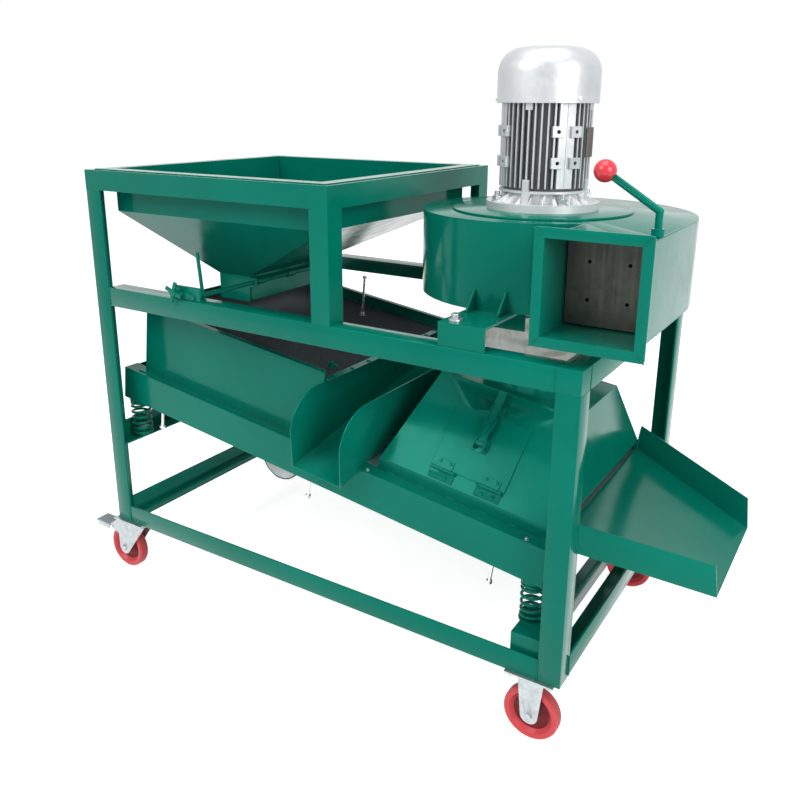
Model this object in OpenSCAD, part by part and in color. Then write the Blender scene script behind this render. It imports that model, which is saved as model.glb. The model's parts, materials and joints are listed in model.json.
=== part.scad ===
// Vibrating seed cleaner on casters: hopper, sprung sieve box, suction hood and top fan.
// Millimetres, +Z up. X runs from the hopper end to the discharge end, Y from front to back.

/* [Frame] */
// Length of the angle-iron frame
frame_l = 1340; // [1300:10:1400]
// Depth of the frame from front face to back face
frame_w = 750; // [720:10:780]
// Height of the top face of the middle rails
mid_h = 850; // [840:5:870]
// Height of the top face of the hopper frame
top_h = 1150; // [1130:5:1200]
// Length of the hopper frame
hopper_l = 770; // [740:10:790]
// Width of each leg of the angle iron
leg = 50; // [45:1:52]
// Thickness of the angle iron
leg_t = 5; // [4:0.5:6]
// Height of the cross angle under the left springs
left_cross_z = 402; // [396:1:404]
// Left edge of the cross angle under the right springs
right_cross_x = 1222; // [1220:1:1226]

/* [Casters] */
// Height from the floor to the frame
caster_h = 165; // [160:1:175]
// Diameter of the caster wheels
wheel_d = 125; // [110:1:130]
// Width of the caster wheels
wheel_w = 32; // [26:1:34]
// Trail of the swivel casters
trail = 43; // [40:1:46]
// Size of the caster plates along the frame
plate_l = 110; // [104:1:112]
// Size of the caster plates across the frame
plate_w = 76; // [72:1:78]
// Thickness of the caster plates
plate_t = 4; // [3:0.5:5]
// Distance of the left caster plates' centres from the frame's left end
caster_in_left = 40; // [38:1:44]
// Distance of the right caster plates' centres from the frame's right end
caster_in_right = 67; // [64:1:70]
// Distance of the caster plates' centres from the frame's front and back faces
caster_in_y = 30; // [29:1:34]
// Diameter of the wheel axles
axle_d = 10; // [8:1:12]
// Clear reach of the brake pedals past the wheel centre
pedal_reach = 116; // [110:1:118]

/* [Hopper] */
// Gap from the frame's outer faces to the hopper band
hopper_in = 52; // [50.5:0.5:58]
// Height of the straight band of the hopper
band_h = 106; // [90:2:130]
// Thickness of the hopper sheet
sheet_t = 2; // [1.5:0.5:2.5]
// Width of the folded lip on the top rails
lip_w = 34; // [24:1:38]
// Left side of the throat
throat_x = 234; // [220:2:250]
// Length of the throat opening
throat_l = 106; // [90:2:130]
// Depth of the throat opening
throat_w = 306; // [260:2:340]
// Height of the throat's top edge over the middle rails
throat_rise = 23; // [18:1:35]
// Depth of the throat below its top edge
throat_drop = 68; // [50:1:72]

/* [Shaker] */
// Downward slope of the sieve box towards the discharge end, degrees
slope = 7.9; // [7:0.1:8.4]
// Left end of the lower box
box_x = 8; // [7:0.5:12]
// Front face of the lower box
box_y = 52; // [51:0.5:56]
// Height of the lower box's bottom edge at its left end
box_z = 523; // [520:0.5:526]
// Length of the lower box along its slope
box_l = 1272; // [1262:1:1280]
// Height of the lower box
box_h = 90; // [86:1:94]
// Width of the lower box's folded flanges
flange_w = 45; // [42:1:48]
// Thickness of the shaker's sheet
shake_t = 3; // [2:0.5:3.5]
// Distance from the box's left end to the upper box
upper_x0 = 43; // [36:1:60]
// Length of the upper box
upper_l = 605; // [590:1:606]
// Gap from the lower box's front face to the upper side plate
upper_in = 36; // [32:1:40]
// Height of the upper box's top edge over the lower box's bottom
upper_top = 280; // [270:2:284]
// Height of the sieve over the lower box's bottom
sieve_z = 254; // [240:1:256]
// Number of sieve gaps along the slope
sieve_nx = 20; // [12:1:22]
// Number of sieve gaps across the slope
sieve_ny = 14; // [8:1:14]
// Width of the bars between the sieve gaps
sieve_bar = 5; // [4:0.5:8]

/* [Side chute] */
// Inside width of the side chute
chute_w = 136; // [120:2:144]
// Reach of the chute's lower lip past the frame's front face
chute_out = 10; // [4:1:20]
// Height of the chute floor at its lip
chute_lip = 66; // [64:1:74]
// Rise of the chute floor per millimetre towards the back
chute_rise = 0.204; // [0.18:0.002:0.22]
// Bulge of the chute's side walls past its lower lip
chute_bulge = 19; // [14:1:22]

/* [Hood] */
// Left edge of the hood's base along the slope
hood_x0 = 826; // [816:2:836]
// Right edge of the hood's base along the slope
hood_x1 = 1266; // [1240:2:1270]
// Height of the straight skirt
skirt_h = 29; // [20:1:36]
// Slope of the hood's front and back faces, degrees
hood_face = 50; // [48:0.5:53]
// Lean of the hood's end faces, degrees from upright
hood_lean = 14; // [10:0.5:16]
// Height of the hood's pyramid over its skirt
hood_rise = 190; // [180:2:196]
// Radius of the round collar
collar_r = 112; // [104:1:116]
// Height of the collar's rim over the floor
collar_top = 775; // [765:1:785]
// Width of the hood door
door_w = 184; // [160:2:200]
// Height of the hood door
door_l = 153; // [140:1:160]
// Gap between the hood's face and the door
door_gap = 0.5; // [0.4:0.1:1]

/* [Discharge tray] */
// Length of the tray along the slope
tray_l = 316; // [280:2:340]
// Front edge of the tray's end
tray_y0 = 140; // [130:2:150]
// Back edge of the tray's end
tray_y1 = 462; // [440:2:480]
// Height of the tray's walls
tray_wall = 64; // [56:1:70]

/* [Springs] */
// Outer diameter of the coil springs
spring_d = 58; // [52:1:58]
// Wire diameter of the coil springs
wire_d = 7; // [6:0.5:8]
// Turns of each coil spring
spring_turns = 5; // [4:1:6]
// Distance of the springs from the frame's front and back faces
spring_y = 82; // [81:0.5:84]
// Distance of the left springs from the frame's left end
spring_xl = 36; // [36:1:40]
// Distance of the right springs from the frame's left end
spring_xr = 1240; // [1238:1:1244]
// Length of each coil spring
spring_h = 90; // [88:0.5:92]

/* [Fan] */
// Distance of the fan's axis from the frame's left end
fan_x = 1091; // [1089:1:1093]
// Distance of the fan's axis from the frame's front face
fan_y = 374; // [372:1:377]
// Height of the fan casing's bottom plate over the middle rails
fan_rise = 50; // [46:1:54]
// Height of the fan casing
fan_h = 185; // [175:1:190]
// Smallest radius of the fan casing's scroll
scroll_r0 = 235; // [230:1:240]
// Largest radius of the fan casing's scroll
scroll_r1 = 338; // [334:1:342]
// Inside width of the outlet
outlet_w = 176; // [170:1:180]
// Width of the outlet's flange bars
outlet_bar = 18; // [14:1:20]
// Radius of the fan's inlet
inlet_r = 124; // [120:1:132]
// Radius of the impeller
impeller_r = 195; // [180:1:205]
// Number of impeller blades
blades = 10; // [8:1:12]
// Radius of the round motor plate
plate_r = 200; // [190:2:210]
// Thickness of the round motor plate
mplate_t = 5; // [4:1:8]
// Width of the fan's brackets
bracket_w = 104; // [96:2:112]

/* [Motor] */
// Diameter of the motor flange
mflange_d = 250; // [240:2:260]
// Diameter of the motor's finned body
mbody_d = 196; // [190:2:200]
// Length of the motor's finned body
mbody_h = 195; // [190:1:205]
// Diameter of the motor's fan cowl
cowl_d = 220; // [216:1:226]
// Height of the motor's fan cowl
cowl_h = 100; // [92:1:106]
// Number of cooling fins
fins = 44; // [36:2:48]
// Diameter of the motor shaft
shaft_d = 28; // [24:1:30]

/* [Damper] */
// Diameter of the damper's shaft
damper_d = 12; // [10:1:14]
// Distance of the damper's shaft behind the outlet's face
damper_y = 112; // [105:1:120]
// Thickness of the damper plate
damper_t = 3; // [2:0.5:4]
// Diameter of the ball knob
knob_d = 42; // [36:1:46]
// Sideways reach of the damper's lever
lever_reach = 92; // [80:1:100]
// Rise of the damper's lever over its sideways reach
lever_rise = 58; // [50:1:66]

/* [Hidden] */
$fn = 64;

green = "#0f7a5c";
silver = "#b9bcbe";
zinc = "#c9c7c0";
red = "#c4202c";
canvas = "#c9c8c2";
dark = "#34383a";
raw = "#77695c";

// Running clearance of a shaft in its hole
run = 0.05;
// Clearance between flat parts that move past each other
air = 1;
// Clearance in the swivel races of the casters
race_gap = 0.3;
// Overall box, used to put the origin at its bottom centre
x_low = caster_in_left - trail - pedal_reach;
x_high = box_x + (box_l + tray_l)*cos(slope) + (box_h + shake_t)*sin(slope);
y_low = -chute_out - chute_bulge;
y_high = frame_w + plate_w/2 - caster_in_y;
mid_y = frame_w/2;
fan_z = mid_h + fan_rise;
throat_z = mid_h + throat_rise;
throat_low = throat_z - throat_drop;

module place() {
  translate([-(x_low + x_high)/2, -(y_low + y_high)/2, 0]) children();
}

// A box given by its lowest and highest corners
module block(a, b) {
  translate(a) cube([b[0] - a[0], b[1] - a[1], b[2] - a[2]]);
}

// The same thing at the front and mirrored about the middle plane at the back
module both_sides() {
  children();
  translate([0, frame_w, 0]) mirror([0, 1, 0]) children();
}

// Local frame of the sloping shaker: x down the slope, z square to the deck
module on_slope() {
  translate([box_x, 0, box_z]) rotate([0, slope, 0]) children();
}
// Height of a point of the shaker over the floor, at frame position x and local height lz
function slope_z(x, lz) = box_z - (x - box_x)*tan(slope) + lz/cos(slope);

// Angle iron along X with its corner line at (y, z), legs towards dy and dz
module rail_x(x0, x1, y, dy, z, dz) {
  block([x0, min(y, y + dy*leg_t), min(z, z + dz*leg)], [x1, max(y, y + dy*leg_t), max(z, z + dz*leg)]);
  block([x0, min(y + dy*leg_t, y + dy*leg), min(z, z + dz*leg_t)],
        [x1, max(y + dy*leg_t, y + dy*leg), max(z, z + dz*leg_t)]);
}
// Angle iron along Y between two rails along X, cut back at its ends
module rail_y(x, dx, z, dz, cut) {
  block([min(x, x + dx*leg_t), leg_t, min(z + dz*leg_t, z + dz*leg)],
        [max(x, x + dx*leg_t), frame_w - leg_t, max(z + dz*leg_t, z + dz*leg)]);
  block([min(x, x + dx*leg), cut, min(z, z + dz*leg_t)],
        [max(x, x + dx*leg), frame_w - cut, max(z, z + dz*leg_t)]);
}
// Upright angle iron with its corner line at (x, y)
module post(x, dx, y, dy, z0, z1) {
  block([min(x, x + dx*leg), min(y, y + dy*leg_t), z0], [max(x, x + dx*leg), max(y, y + dy*leg_t), z1]);
  block([min(x, x + dx*leg_t), min(y + dy*leg_t, y + dy*leg), z0],
        [max(x, x + dx*leg_t), max(y + dy*leg_t, y + dy*leg), z1]);
}

module corner_posts() color(green) place() {
  both_sides() post(0, 1, 0, 1, caster_h, top_h - leg);
  both_sides() post(frame_l, -1, 0, 1, caster_h, mid_h - leg);
}
module hopper_frame() color(green) place() {
  both_sides() {
    rail_x(0, hopper_l, 0, 1, top_h, -1);
    post(hopper_l, -1, 0, 1, mid_h, top_h - leg);
  }
  rail_y(0, 1, top_h, -1, leg);
  rail_y(hopper_l, -1, top_h, -1, leg);
}
module mid_rails() color(green) place() {
  both_sides() rail_x(leg, frame_l, 0, 1, mid_h, -1);
  rail_y(frame_l, -1, mid_h, -1, leg);
}
module lower_rails() color(green) place() {
  both_sides() rail_x(leg, frame_l - leg, 0, 1, caster_h, 1);
  for (s = [0, 1]) {
    x = s*frame_l;
    d = 1 - 2*s;
    block([min(x, x + d*leg_t), leg, caster_h], [max(x, x + d*leg_t), frame_w - leg, caster_h + leg]);
    block([min(x + d*leg_t, x + d*leg), leg, caster_h],
          [max(x + d*leg_t, x + d*leg), frame_w - leg, caster_h + leg_t]);
  }
}
// Cross angles that carry the springs
module spring_rails() color(green) place() {
  block([0, leg, left_cross_z], [leg_t, frame_w - leg, left_cross_z + leg]);
  block([leg_t, leg_t, left_cross_z], [leg, frame_w - leg_t, left_cross_z + leg_t]);
  z = caster_h + leg_t;
  x1 = right_cross_x + leg;
  block([right_cross_x, leg_t, z], [x1, frame_w - leg_t, z + leg_t]);
  block([x1 - leg_t, pedestal_y1, z + leg_t], [x1, frame_w - pedestal_y1, z + leg]);
}

// Heights of the springs' lower and upper ends, left and right
spring_cap_t = 4;
function spring_cap_drop(r) = r*tan(slope);
left_top = slope_z(spring_xl, 0) - spring_cap_t - spring_cap_drop(spring_d/2);
right_top = slope_z(spring_xr, 0) - spring_cap_t - spring_cap_drop(spring_d/2);
left_seat = left_top - spring_h;
right_seat = right_top - spring_h;
seat_t = 4;
ring_n = 8;
side_n = 6;
coil_r = (spring_d - wire_d)/2;
// Bosses stay clear of the coil's inside, also half way between two of its rings
boss_r = coil_r*cos(180/ring_n) - wire_d/2 - 0.6;
boss_h = 12;
pedestal_l = 68;
pedestal_y0 = 12;
pedestal_y1 = 112;

// A flat seat with a short boss that centres the spring
module seat(z) {
  translate([0, 0, z - seat_t]) cylinder(r = spring_d/2 + 1, h = seat_t);
  translate([0, 0, z - seat_t]) cylinder(r = boss_r, h = seat_t + boss_h);
}
// Right pedestals are boxes on the cross angle, left seats stand on a short tube
module spring_pedestals() color(green) place() both_sides() {
  block([right_cross_x, pedestal_y0, caster_h + 2*leg_t],
        [right_cross_x + pedestal_l, pedestal_y1, right_seat - seat_t/2]);
  translate([spring_xr, spring_y, 0]) seat(right_seat);
  translate([spring_xl, spring_y, left_cross_z + leg_t])
    cylinder(r = boss_r, h = left_seat - seat_t/2 - left_cross_z - leg_t);
  translate([spring_xl, spring_y, 0]) seat(left_seat);
}
module spring_caps() color(green) place() both_sides() {
  for (e = [[spring_xl, left_top], [spring_xr, right_top]])
    translate([e[0], spring_y, 0]) {
      difference() {
        translate([0, 0, e[1]]) cylinder(r = spring_d/2, h = spring_cap_t + 2*spring_cap_drop(spring_d/2));
        translate([-e[0], -spring_y, 0]) on_slope()
          translate([-spring_d, 0, 0]) cube([box_l + 2*spring_d, frame_w, box_h]);
      }
      translate([0, 0, e[1] - boss_h]) cylinder(r = boss_r, h = boss_h);
    }
}

// Coil spring as one unbroken tube, ring_n rings a turn with side_n sides
coil_steps = ring_n*spring_turns;
// Gap between the wire's ends and the seats
coil_air = 1;
coil_pitch = (spring_h - wire_d - 2*coil_air)/spring_turns;
function coil_point(i) = [coil_r*cos(360*i/ring_n), coil_r*sin(360*i/ring_n),
                          wire_d/2 + coil_air + coil_pitch*i/ring_n];
// The least gap of the coil to itself lies between two neighbouring turns
coil_gap = min([for (i = [0 : ring_n]) norm(coil_point(i + ring_n) - coil_point(i))]) - wire_d;
echo("least gap of a spring to itself", coil_gap);
function coil_tangent(i) = let (t = [-sin(360*i/ring_n), cos(360*i/ring_n),
                                     coil_pitch/(2*PI*coil_r)]) t/norm(t);
function ring_at(p, t) = let (n = [p[0], p[1], 0]/norm([p[0], p[1], 0]), b = cross(t, n))
  [for (k = [0 : side_n - 1]) p + wire_d/2*(cos(360*k/side_n)*n + sin(360*k/side_n)*b)];
lead = 5;
coil_rings = concat(
  [ring_at_lead(coil_point(0), coil_tangent(0), -lead)],
  [for (i = [0 : coil_steps]) ring_at(coil_point(i), coil_tangent(i))],
  [ring_at_lead(coil_point(coil_steps), coil_tangent(coil_steps), lead)]);
function ring_at_lead(p, t, d) = [for (q = ring_at(p, t)) q + d*t];
module coil_spring() {
  pts = [for (r = coil_rings) each r];
  last = (len(coil_rings) - 1)*side_n;
  sides = [for (i = [0 : len(coil_rings) - 2]) for (k = [0 : side_n - 1])
    let (a = i*side_n + k, b = i*side_n + (k + 1)%side_n)
      each [[a, b, a + side_n], [b, b + side_n, a + side_n]]];
  caps = concat([[for (k = [side_n - 1 : -1 : 0]) k]], [[for (k = [0 : side_n - 1]) last + k]]);
  polyhedron(pts, concat(sides, caps), convexity = 10);
}
module spring_at(x, y, z) color(green) place() translate([x, y, z]) coil_spring();
module spring_front_left() spring_at(spring_xl, spring_y, left_seat);
module spring_front_right() spring_at(spring_xr, spring_y, right_seat);
module spring_back_left() spring_at(spring_xl, frame_w - spring_y, left_seat);
module spring_back_right() spring_at(spring_xr, frame_w - spring_y, right_seat);

// Hopper: lip, straight band, pyramid and throat, open all the way through
hx0 = hopper_in;
hx1 = hopper_l - hopper_in;
hy0 = hopper_in;
hy1 = frame_w - hopper_in;
band_z = top_h - band_h;
throat_y = mid_y - throat_w/2;
module frustum(grow, z0, z1) {
  e = 0.01;
  hull() {
    translate([hx0 - grow, hy0 - grow, z1 - e]) cube([hx1 - hx0 + 2*grow, hy1 - hy0 + 2*grow, e]);
    translate([throat_x - grow, throat_y - grow, z0]) cube([throat_l + 2*grow, throat_w + 2*grow, e]);
  }
}
module hopper() color(green) place() {
  difference() {
    union() {
      block([hx0, hy0, band_z], [hx1, hy1, top_h + sheet_t]);
      frustum(0, throat_z, band_z);
      block([throat_x, throat_y, throat_low], [throat_x + throat_l, throat_y + throat_w, throat_z]);
      block([hx0 - lip_w, hy0 - lip_w, top_h], [hx1 + lip_w, hy1 + lip_w, top_h + sheet_t]);
    }
    block([hx0 + sheet_t, hy0 + sheet_t, band_z], [hx1 - sheet_t, hy1 - sheet_t, top_h + 2*sheet_t]);
    frustum(-sheet_t, throat_z - 0.01, band_z + 0.01);
    block([throat_x + sheet_t, throat_y + sheet_t, throat_low - 1],
          [throat_x + throat_l - sheet_t, throat_y + throat_w - sheet_t, throat_z + 0.01]);
    // The throat's right wall is the hinged gate
    block([throat_x + throat_l - sheet_t - 1, throat_y + sheet_t, throat_low - 1],
          [throat_x + throat_l + 1, throat_y + throat_w - sheet_t, throat_z - 12]);
  }
  // Ears that carry the gate's shaft
  for (y = [throat_y, throat_y + throat_w - sheet_t])
    difference() {
      block([throat_x + throat_l, y, gate_z - 14], [gate_x + 12, y + sheet_t, gate_z + 12]);
      translate([gate_x, y - 1, gate_z]) rotate([-90, 0, 0]) cylinder(d = gate_d + 2*run, h = sheet_t + 2);
    }
}
gate_d = 12;
gate_x = throat_x + throat_l + 12;
gate_z = throat_z - 14;
gate_lever_y = 40;
gate_lever_h = 105;
module gate_shaft() color(green) place() {
  y0 = 4;
  y1 = throat_y + throat_w + 14;
  translate([gate_x, y0, gate_z]) rotate([-90, 0, 0]) cylinder(d = gate_d, h = y1 - y0);
  translate([gate_x, gate_lever_y - 6, gate_z]) rotate([-90, 0, 0]) cylinder(d = gate_d + 5, h = 12);
  translate([gate_x, gate_lever_y, gate_z]) rotate([0, -6, 0]) cylinder(d = 9, h = gate_lever_h);
}
// The flap hangs from the shaft over the throat's open side
module gate_flap() color(green) place() {
  y0 = throat_y + sheet_t + air;
  y1 = throat_y + throat_w - sheet_t - air;
  difference() {
    union() {
      for (y = [y0 + 10, mid_y - 15, y1 - 40])
        translate([gate_x, y, gate_z]) rotate([-90, 0, 0]) cylinder(d = gate_d + 6, h = 30);
      block([gate_x - gate_d/2 - 3, y0, throat_low + 4], [gate_x - gate_d/2 - 3 + sheet_t, y1, gate_z]);
    }
    translate([gate_x, y0 - 1, gate_z]) rotate([-90, 0, 0]) cylinder(d = gate_d, h = y1 - y0 + 2);
  }
}
// Bracket on the front rail that carries the gate's shaft and its lock screw
carrier_y = 8;
carrier_t = 5;
carrier_h = 34;
carrier_foot = 22;
lock_x = gate_x - 48;
lock_z = mid_h + 20;
lock_d = 8;
module gate_bracket() color(green) place() {
  x0 = lock_x - carrier_foot;
  x1 = gate_x + carrier_foot;
  difference() {
    union() {
      block([x0, carrier_y, mid_h], [x1, carrier_y + carrier_t, mid_h + carrier_h]);
      block([x0, carrier_y + carrier_t, mid_h], [x1, carrier_y + carrier_foot, mid_h + carrier_t]);
    }
    for (h = [[gate_x, gate_z, gate_d], [lock_x, lock_z, lock_d]])
      translate([h[0], 0, h[1]]) rotate([-90, 0, 0]) cylinder(d = h[2] + 2*run, h = leg);
  }
}
module gate_lock_knob() color(zinc) place() {
  translate([lock_x, -6, lock_z]) rotate([-90, 0, 0]) cylinder(d = lock_d, h = 32);
  translate([lock_x, -6, lock_z]) rotate([90, 0, 0]) cylinder(d = 18, h = 10);
  for (a = [0, 90])
    translate([lock_x, -11, lock_z]) rotate([0, a + 20, 0]) cube([52, 5, 9], center = true);
}

// Fan scroll: radius grows steadily clockwise, seen from above, from the tongue to the outlet
tongue = 300;
scroll_n = 40;
function scroll_r(a) = scroll_r0 + (scroll_r1 - scroll_r0)*(tongue - a)/tongue;
outlet_x1 = fan_x + scroll_r1;
outlet_x0 = outlet_x1 - outlet_w - 2*sheet_t;
outlet_y = 5;
inlet_h = 30;
function scroll_points(g) = [for (i = [0 : scroll_n])
  let (a = tongue*i/scroll_n, r = scroll_r(a) + g) [fan_x + r*cos(a), fan_y + r*sin(a)]];
// Outline of the casing grown by g: outlet, right wall, scroll and tongue
function casing_points(g) = concat(
  [[outlet_x0 - g, outlet_y], [outlet_x1 + g, outlet_y]],
  scroll_points(g),
  [[outlet_x0 - g, fan_y - sqrt(pow(scroll_r0 + g, 2) - pow(outlet_x0 - g - fan_x, 2))]]);
module casing_outline(g) polygon(casing_points(g));
module fan_casing() color(green) place() difference() {
  translate([0, 0, fan_z + sheet_t]) linear_extrude(fan_h - sheet_t) casing_outline(0);
  translate([0, 0, fan_z]) linear_extrude(fan_h + 1) casing_outline(-sheet_t);
  block([outlet_x0 + sheet_t, outlet_y - 1, fan_z],
        [outlet_x1 - sheet_t, outlet_y + 1, fan_z + fan_h + 1]);
}
// Bottom plate of the casing with the inlet's ring
module fan_floor() color(green) place() {
  difference() {
    translate([0, 0, fan_z]) linear_extrude(sheet_t) casing_outline(0);
    translate([fan_x, fan_y, fan_z - 1]) cylinder(r = inlet_r, h = sheet_t + 2);
  }
  translate([fan_x, fan_y, fan_z - inlet_h]) difference() {
    cylinder(r = inlet_r + sheet_t, h = inlet_h);
    translate([0, 0, -1]) cylinder(r = inlet_r, h = inlet_h + 2);
  }
}
top_z = fan_z + fan_h;
damper_x = outlet_x1 - sheet_t - damper_d/2 - 2;
damper_shaft_y = outlet_y + damper_y;
module fan_top_plate() color(green) place() difference() {
  translate([0, 0, top_z]) linear_extrude(sheet_t) casing_outline(0);
  translate([fan_x, fan_y, top_z - 1]) cylinder(r = shaft_d/2 + 8, h = sheet_t + 2);
  translate([damper_x, damper_shaft_y, top_z - 1]) cylinder(d = damper_d + 2*run, h = sheet_t + 2);
}
module outlet_flange() color(green) place() {
  z1 = top_z + sheet_t;
  x0 = outlet_x0 - outlet_bar;
  x1 = outlet_x1 + outlet_bar;
  low = fan_z - outlet_bar;
  high = z1 + outlet_bar;
  r = corner_round;
  difference() {
    union() {
      block([x0 + r, 0, low], [x1 - r, outlet_y, high]);
      block([x0, 0, low + r], [x1, outlet_y, high - r]);
      for (x = [x0 + r, x1 - r]) for (z = [low + r, high - r])
        translate([x, 0, z]) rotate([-90, 0, 0]) cylinder(r = r, h = outlet_y);
    }
    block([outlet_x0 + sheet_t, -1, fan_z + sheet_t], [outlet_x1 - sheet_t, outlet_y + 1, top_z]);
  }
}
// Rounding of the outlet flange's outer corners
corner_round = 6;
motor_z = top_z + sheet_t;
module motor_plate() color(green) place() difference() {
  translate([fan_x, fan_y, motor_z]) cylinder(r = plate_r, h = mplate_t);
  translate([fan_x, fan_y, motor_z - 1]) cylinder(r = shaft_d/2 + 8, h = mplate_t + 2);
}

// Channel brackets from the middle rails to the casing's bottom plate, open at both ends along X
bracket_t = 5;
bracket_x = 1036;
bracket_in = 3;
front_reach = 195;
back_reach = 150;
side_y = 214;
side_out = 46;
washer_d = 26;
bolt_d = 17;
gusset_h = 46;
gusset_in = 14;
gusset_y0 = 92;
gusset_y1 = 150;
gusset_tip = 22;
module channel(x0, x1, y0, y1) difference() {
  block([x0, y0, mid_h], [x1, y1, fan_z]);
  block([x0 - 1, y0 + bracket_t, mid_h - 1], [x1 + 1, y1 - bracket_t, fan_z - bracket_t]);
}
module bracket(reach) {
  channel(bracket_x, bracket_x + bracket_w, bracket_in, bracket_in + reach);
  translate([bracket_x + washer_d, bracket_in + washer_d, fan_z]) {
    cylinder(d = washer_d, h = 4);
    translate([0, 0, 4]) cylinder(d = bolt_d, h = 8, $fn = 6);
  }
}
// Upright gusset from the front bracket to the casing
module gusset(x) difference() {
  profile_x(x, x + bracket_t, [[gusset_y0, fan_z], [gusset_y1, fan_z], [gusset_y1, fan_z + gusset_h],
    [gusset_y1 - gusset_tip, fan_z + gusset_h], [gusset_y0, fan_z + bracket_t]]);
  translate([0, 0, fan_z - 1]) linear_extrude(gusset_h + 2) casing_outline(0);
}
module fan_brackets() color(green) place() {
  bracket(front_reach);
  translate([0, frame_w, 0]) mirror([0, 1, 0]) bracket(back_reach);
  channel(frame_l - leg, frame_l + side_out, side_y, side_y + bracket_w);
  gusset(bracket_x + gusset_in);
  gusset(bracket_x + bracket_w - gusset_in - bracket_t);
}

// Motor, standing on its flange
mflange_z = motor_z + mplate_t;
mflange_t = 16;
shield_h = 27;
mbody_z = mflange_z + mflange_t + shield_h;
cowl_z = mbody_z + mbody_h;
stud_n = 4;
stud_r = 107.5;
shield_d = 172;
shield_ring = 5;
shield_ribs = 24;
shield_rib_t = 3;
ear_w = 15;
module on_motor() translate([fan_x, fan_y, 0]) children();
// Four ears of the tie bolts between two heights
module ears(low, high) for (a = [0 : 90 : 270])
  rotate([0, 0, a]) block([shield_d/2 - 6, -ear_w/2, low], [mbody_d/2 + 2, ear_w/2, high]);
module motor_flange() color(silver) place() on_motor() difference() {
  union() {
    translate([0, 0, mflange_z]) cylinder(d = mflange_d, h = mflange_t);
    translate([0, 0, mflange_z + mflange_t]) {
      cylinder(d = shield_d, h = shield_h);
      translate([0, 0, shield_h - shield_ring]) cylinder(d = mbody_d, h = shield_ring);
      for (k = [0 : shield_ribs - 1]) rotate([0, 0, 360*(k + 0.5)/shield_ribs])
        translate([0, shield_rib_t/2, 0]) rotate([90, 0, 0]) linear_extrude(shield_rib_t)
          polygon([[shield_d/2 - 3, 0], [mflange_d/2 - 8, 0],
            [shield_d/2 - 3, shield_h - shield_ring - 2]]);
      ears(0, shield_h);
    }
  }
  translate([0, 0, mflange_z - 1]) cylinder(d = shaft_d + 2*run, h = mflange_t + shield_h + 2);
  for (k = [0 : stud_n - 1]) rotate([0, 0, 45 + 90*k])
    translate([stud_r, 0, mflange_z - 1]) cylinder(d = 14, h = mflange_t + 2);
}
fin_h = 11;
fin_t = 3.6;
fin_in = 6;
ear_low = 24;
ear_high = 14;
// Upright lands with two pairs of lugs each: places around the body and heights over its bottom
lug_at = [221.5, 318.5];
lug_turn = 11.5;
lug_z = [48, 112];
lug_w = 26;
lug_h = 23;
lug_hole = 8;
land_w = 36;
module motor_body() color(silver) place() on_motor() {
  difference() {
    union() {
      translate([0, 0, mbody_z]) cylinder(d = mbody_d - 2*fin_h, h = mbody_h);
      for (k = [0 : fins - 1]) rotate([0, 0, 360*k/fins])
        block([mbody_d/2 - fin_h - 2, -fin_t/2, mbody_z + fin_in],
              [mbody_d/2, fin_t/2, mbody_z + mbody_h - fin_in]);
      for (a = lug_at) rotate([0, 0, a]) {
        block([mbody_d/2 - fin_h - 4, -land_w/2, mbody_z + fin_in],
              [mbody_d/2 - 1, land_w/2, mbody_z + mbody_h - cowl_skirt]);
        for (z = lug_z) for (s = [-1, 1]) rotate([0, 0, s*lug_turn])
          translate([mbody_d/2 - fin_h - 4, -lug_w/2, mbody_z + z]) cube([fin_h + 10, lug_w, lug_h]);
      }
      translate([0, 0, mbody_z]) ears(0, ear_low);
      translate([0, 0, mbody_z]) ears(mbody_h - cowl_skirt - ear_high, mbody_h - cowl_skirt);
    }
    translate([0, 0, mbody_z - 1]) cylinder(d = 120, h = mbody_h - 9);
    for (a = lug_at) for (z = lug_z) for (s = [-1, 1]) rotate([0, 0, a + s*lug_turn])
      translate([mbody_d/2 - fin_h, 0, mbody_z + z + lug_h/2]) rotate([0, 90, 0])
        cylinder(d = lug_hole, h = 2*fin_h);
    translate([0, 0, mbody_z + mbody_h - 12]) cylinder(d = shaft_d + 2*run, h = 14);
  }
}
cowl_round = 52;
cowl_skirt = 14;
cowl_wall = 2;
// Half the cowl's section, drawn in by the given wall
module cowl_profile(wall) {
  side_r = cowl_d/2 - cowl_round;
  side_z = cowl_h - cowl_round;
  square([cowl_d/2 - wall, side_z]);
  square([side_r, cowl_h - wall]);
  translate([side_r, side_z]) intersection() {
    circle(r = cowl_round - wall);
    square(cowl_round);
  }
}
module motor_cowl() color(silver) place() on_motor() difference() {
  union() {
    translate([0, 0, cowl_z - cowl_skirt]) difference() {
      cylinder(d = cowl_d, h = cowl_skirt);
      translate([0, 0, -1]) cylinder(d = mbody_d + 0.4, h = cowl_skirt + 2);
    }
    translate([0, 0, cowl_z]) rotate_extrude() cowl_profile(0);
  }
  translate([0, 0, cowl_z - 1]) rotate_extrude() cowl_profile(cowl_wall);
  // Intake holes in the cowl's top
  for (r = [22 : 12 : cowl_d/2 - cowl_round])
    for (k = [0 : floor(2*PI*r/13) - 1]) rotate([0, 0, 360*k/floor(2*PI*r/13)])
      translate([r, 0, cowl_z + cowl_h - 6]) cylinder(d = 7, h = 12, $fn = 16);
}
module terminal_box() color(silver) place() on_motor() rotate([0, 0, 125]) {
  x = mbody_d/2 - 2;
  difference() {
    translate([x, -48, mbody_z + 60]) cube([52, 96, 100]);
    translate([x - 1, -30, mbody_z + 78]) cube([40, 60, 64]);
    translate([0, 0, mbody_z]) cylinder(d = mbody_d + 0.6, h = mbody_h);
  }
  translate([x + 26, 0, mbody_z + 48]) cylinder(d = 22, h = 12);
  translate([x + 26, 0, mbody_z + 40]) cylinder(d = 28, h = 8, $fn = 6);
}
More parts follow.
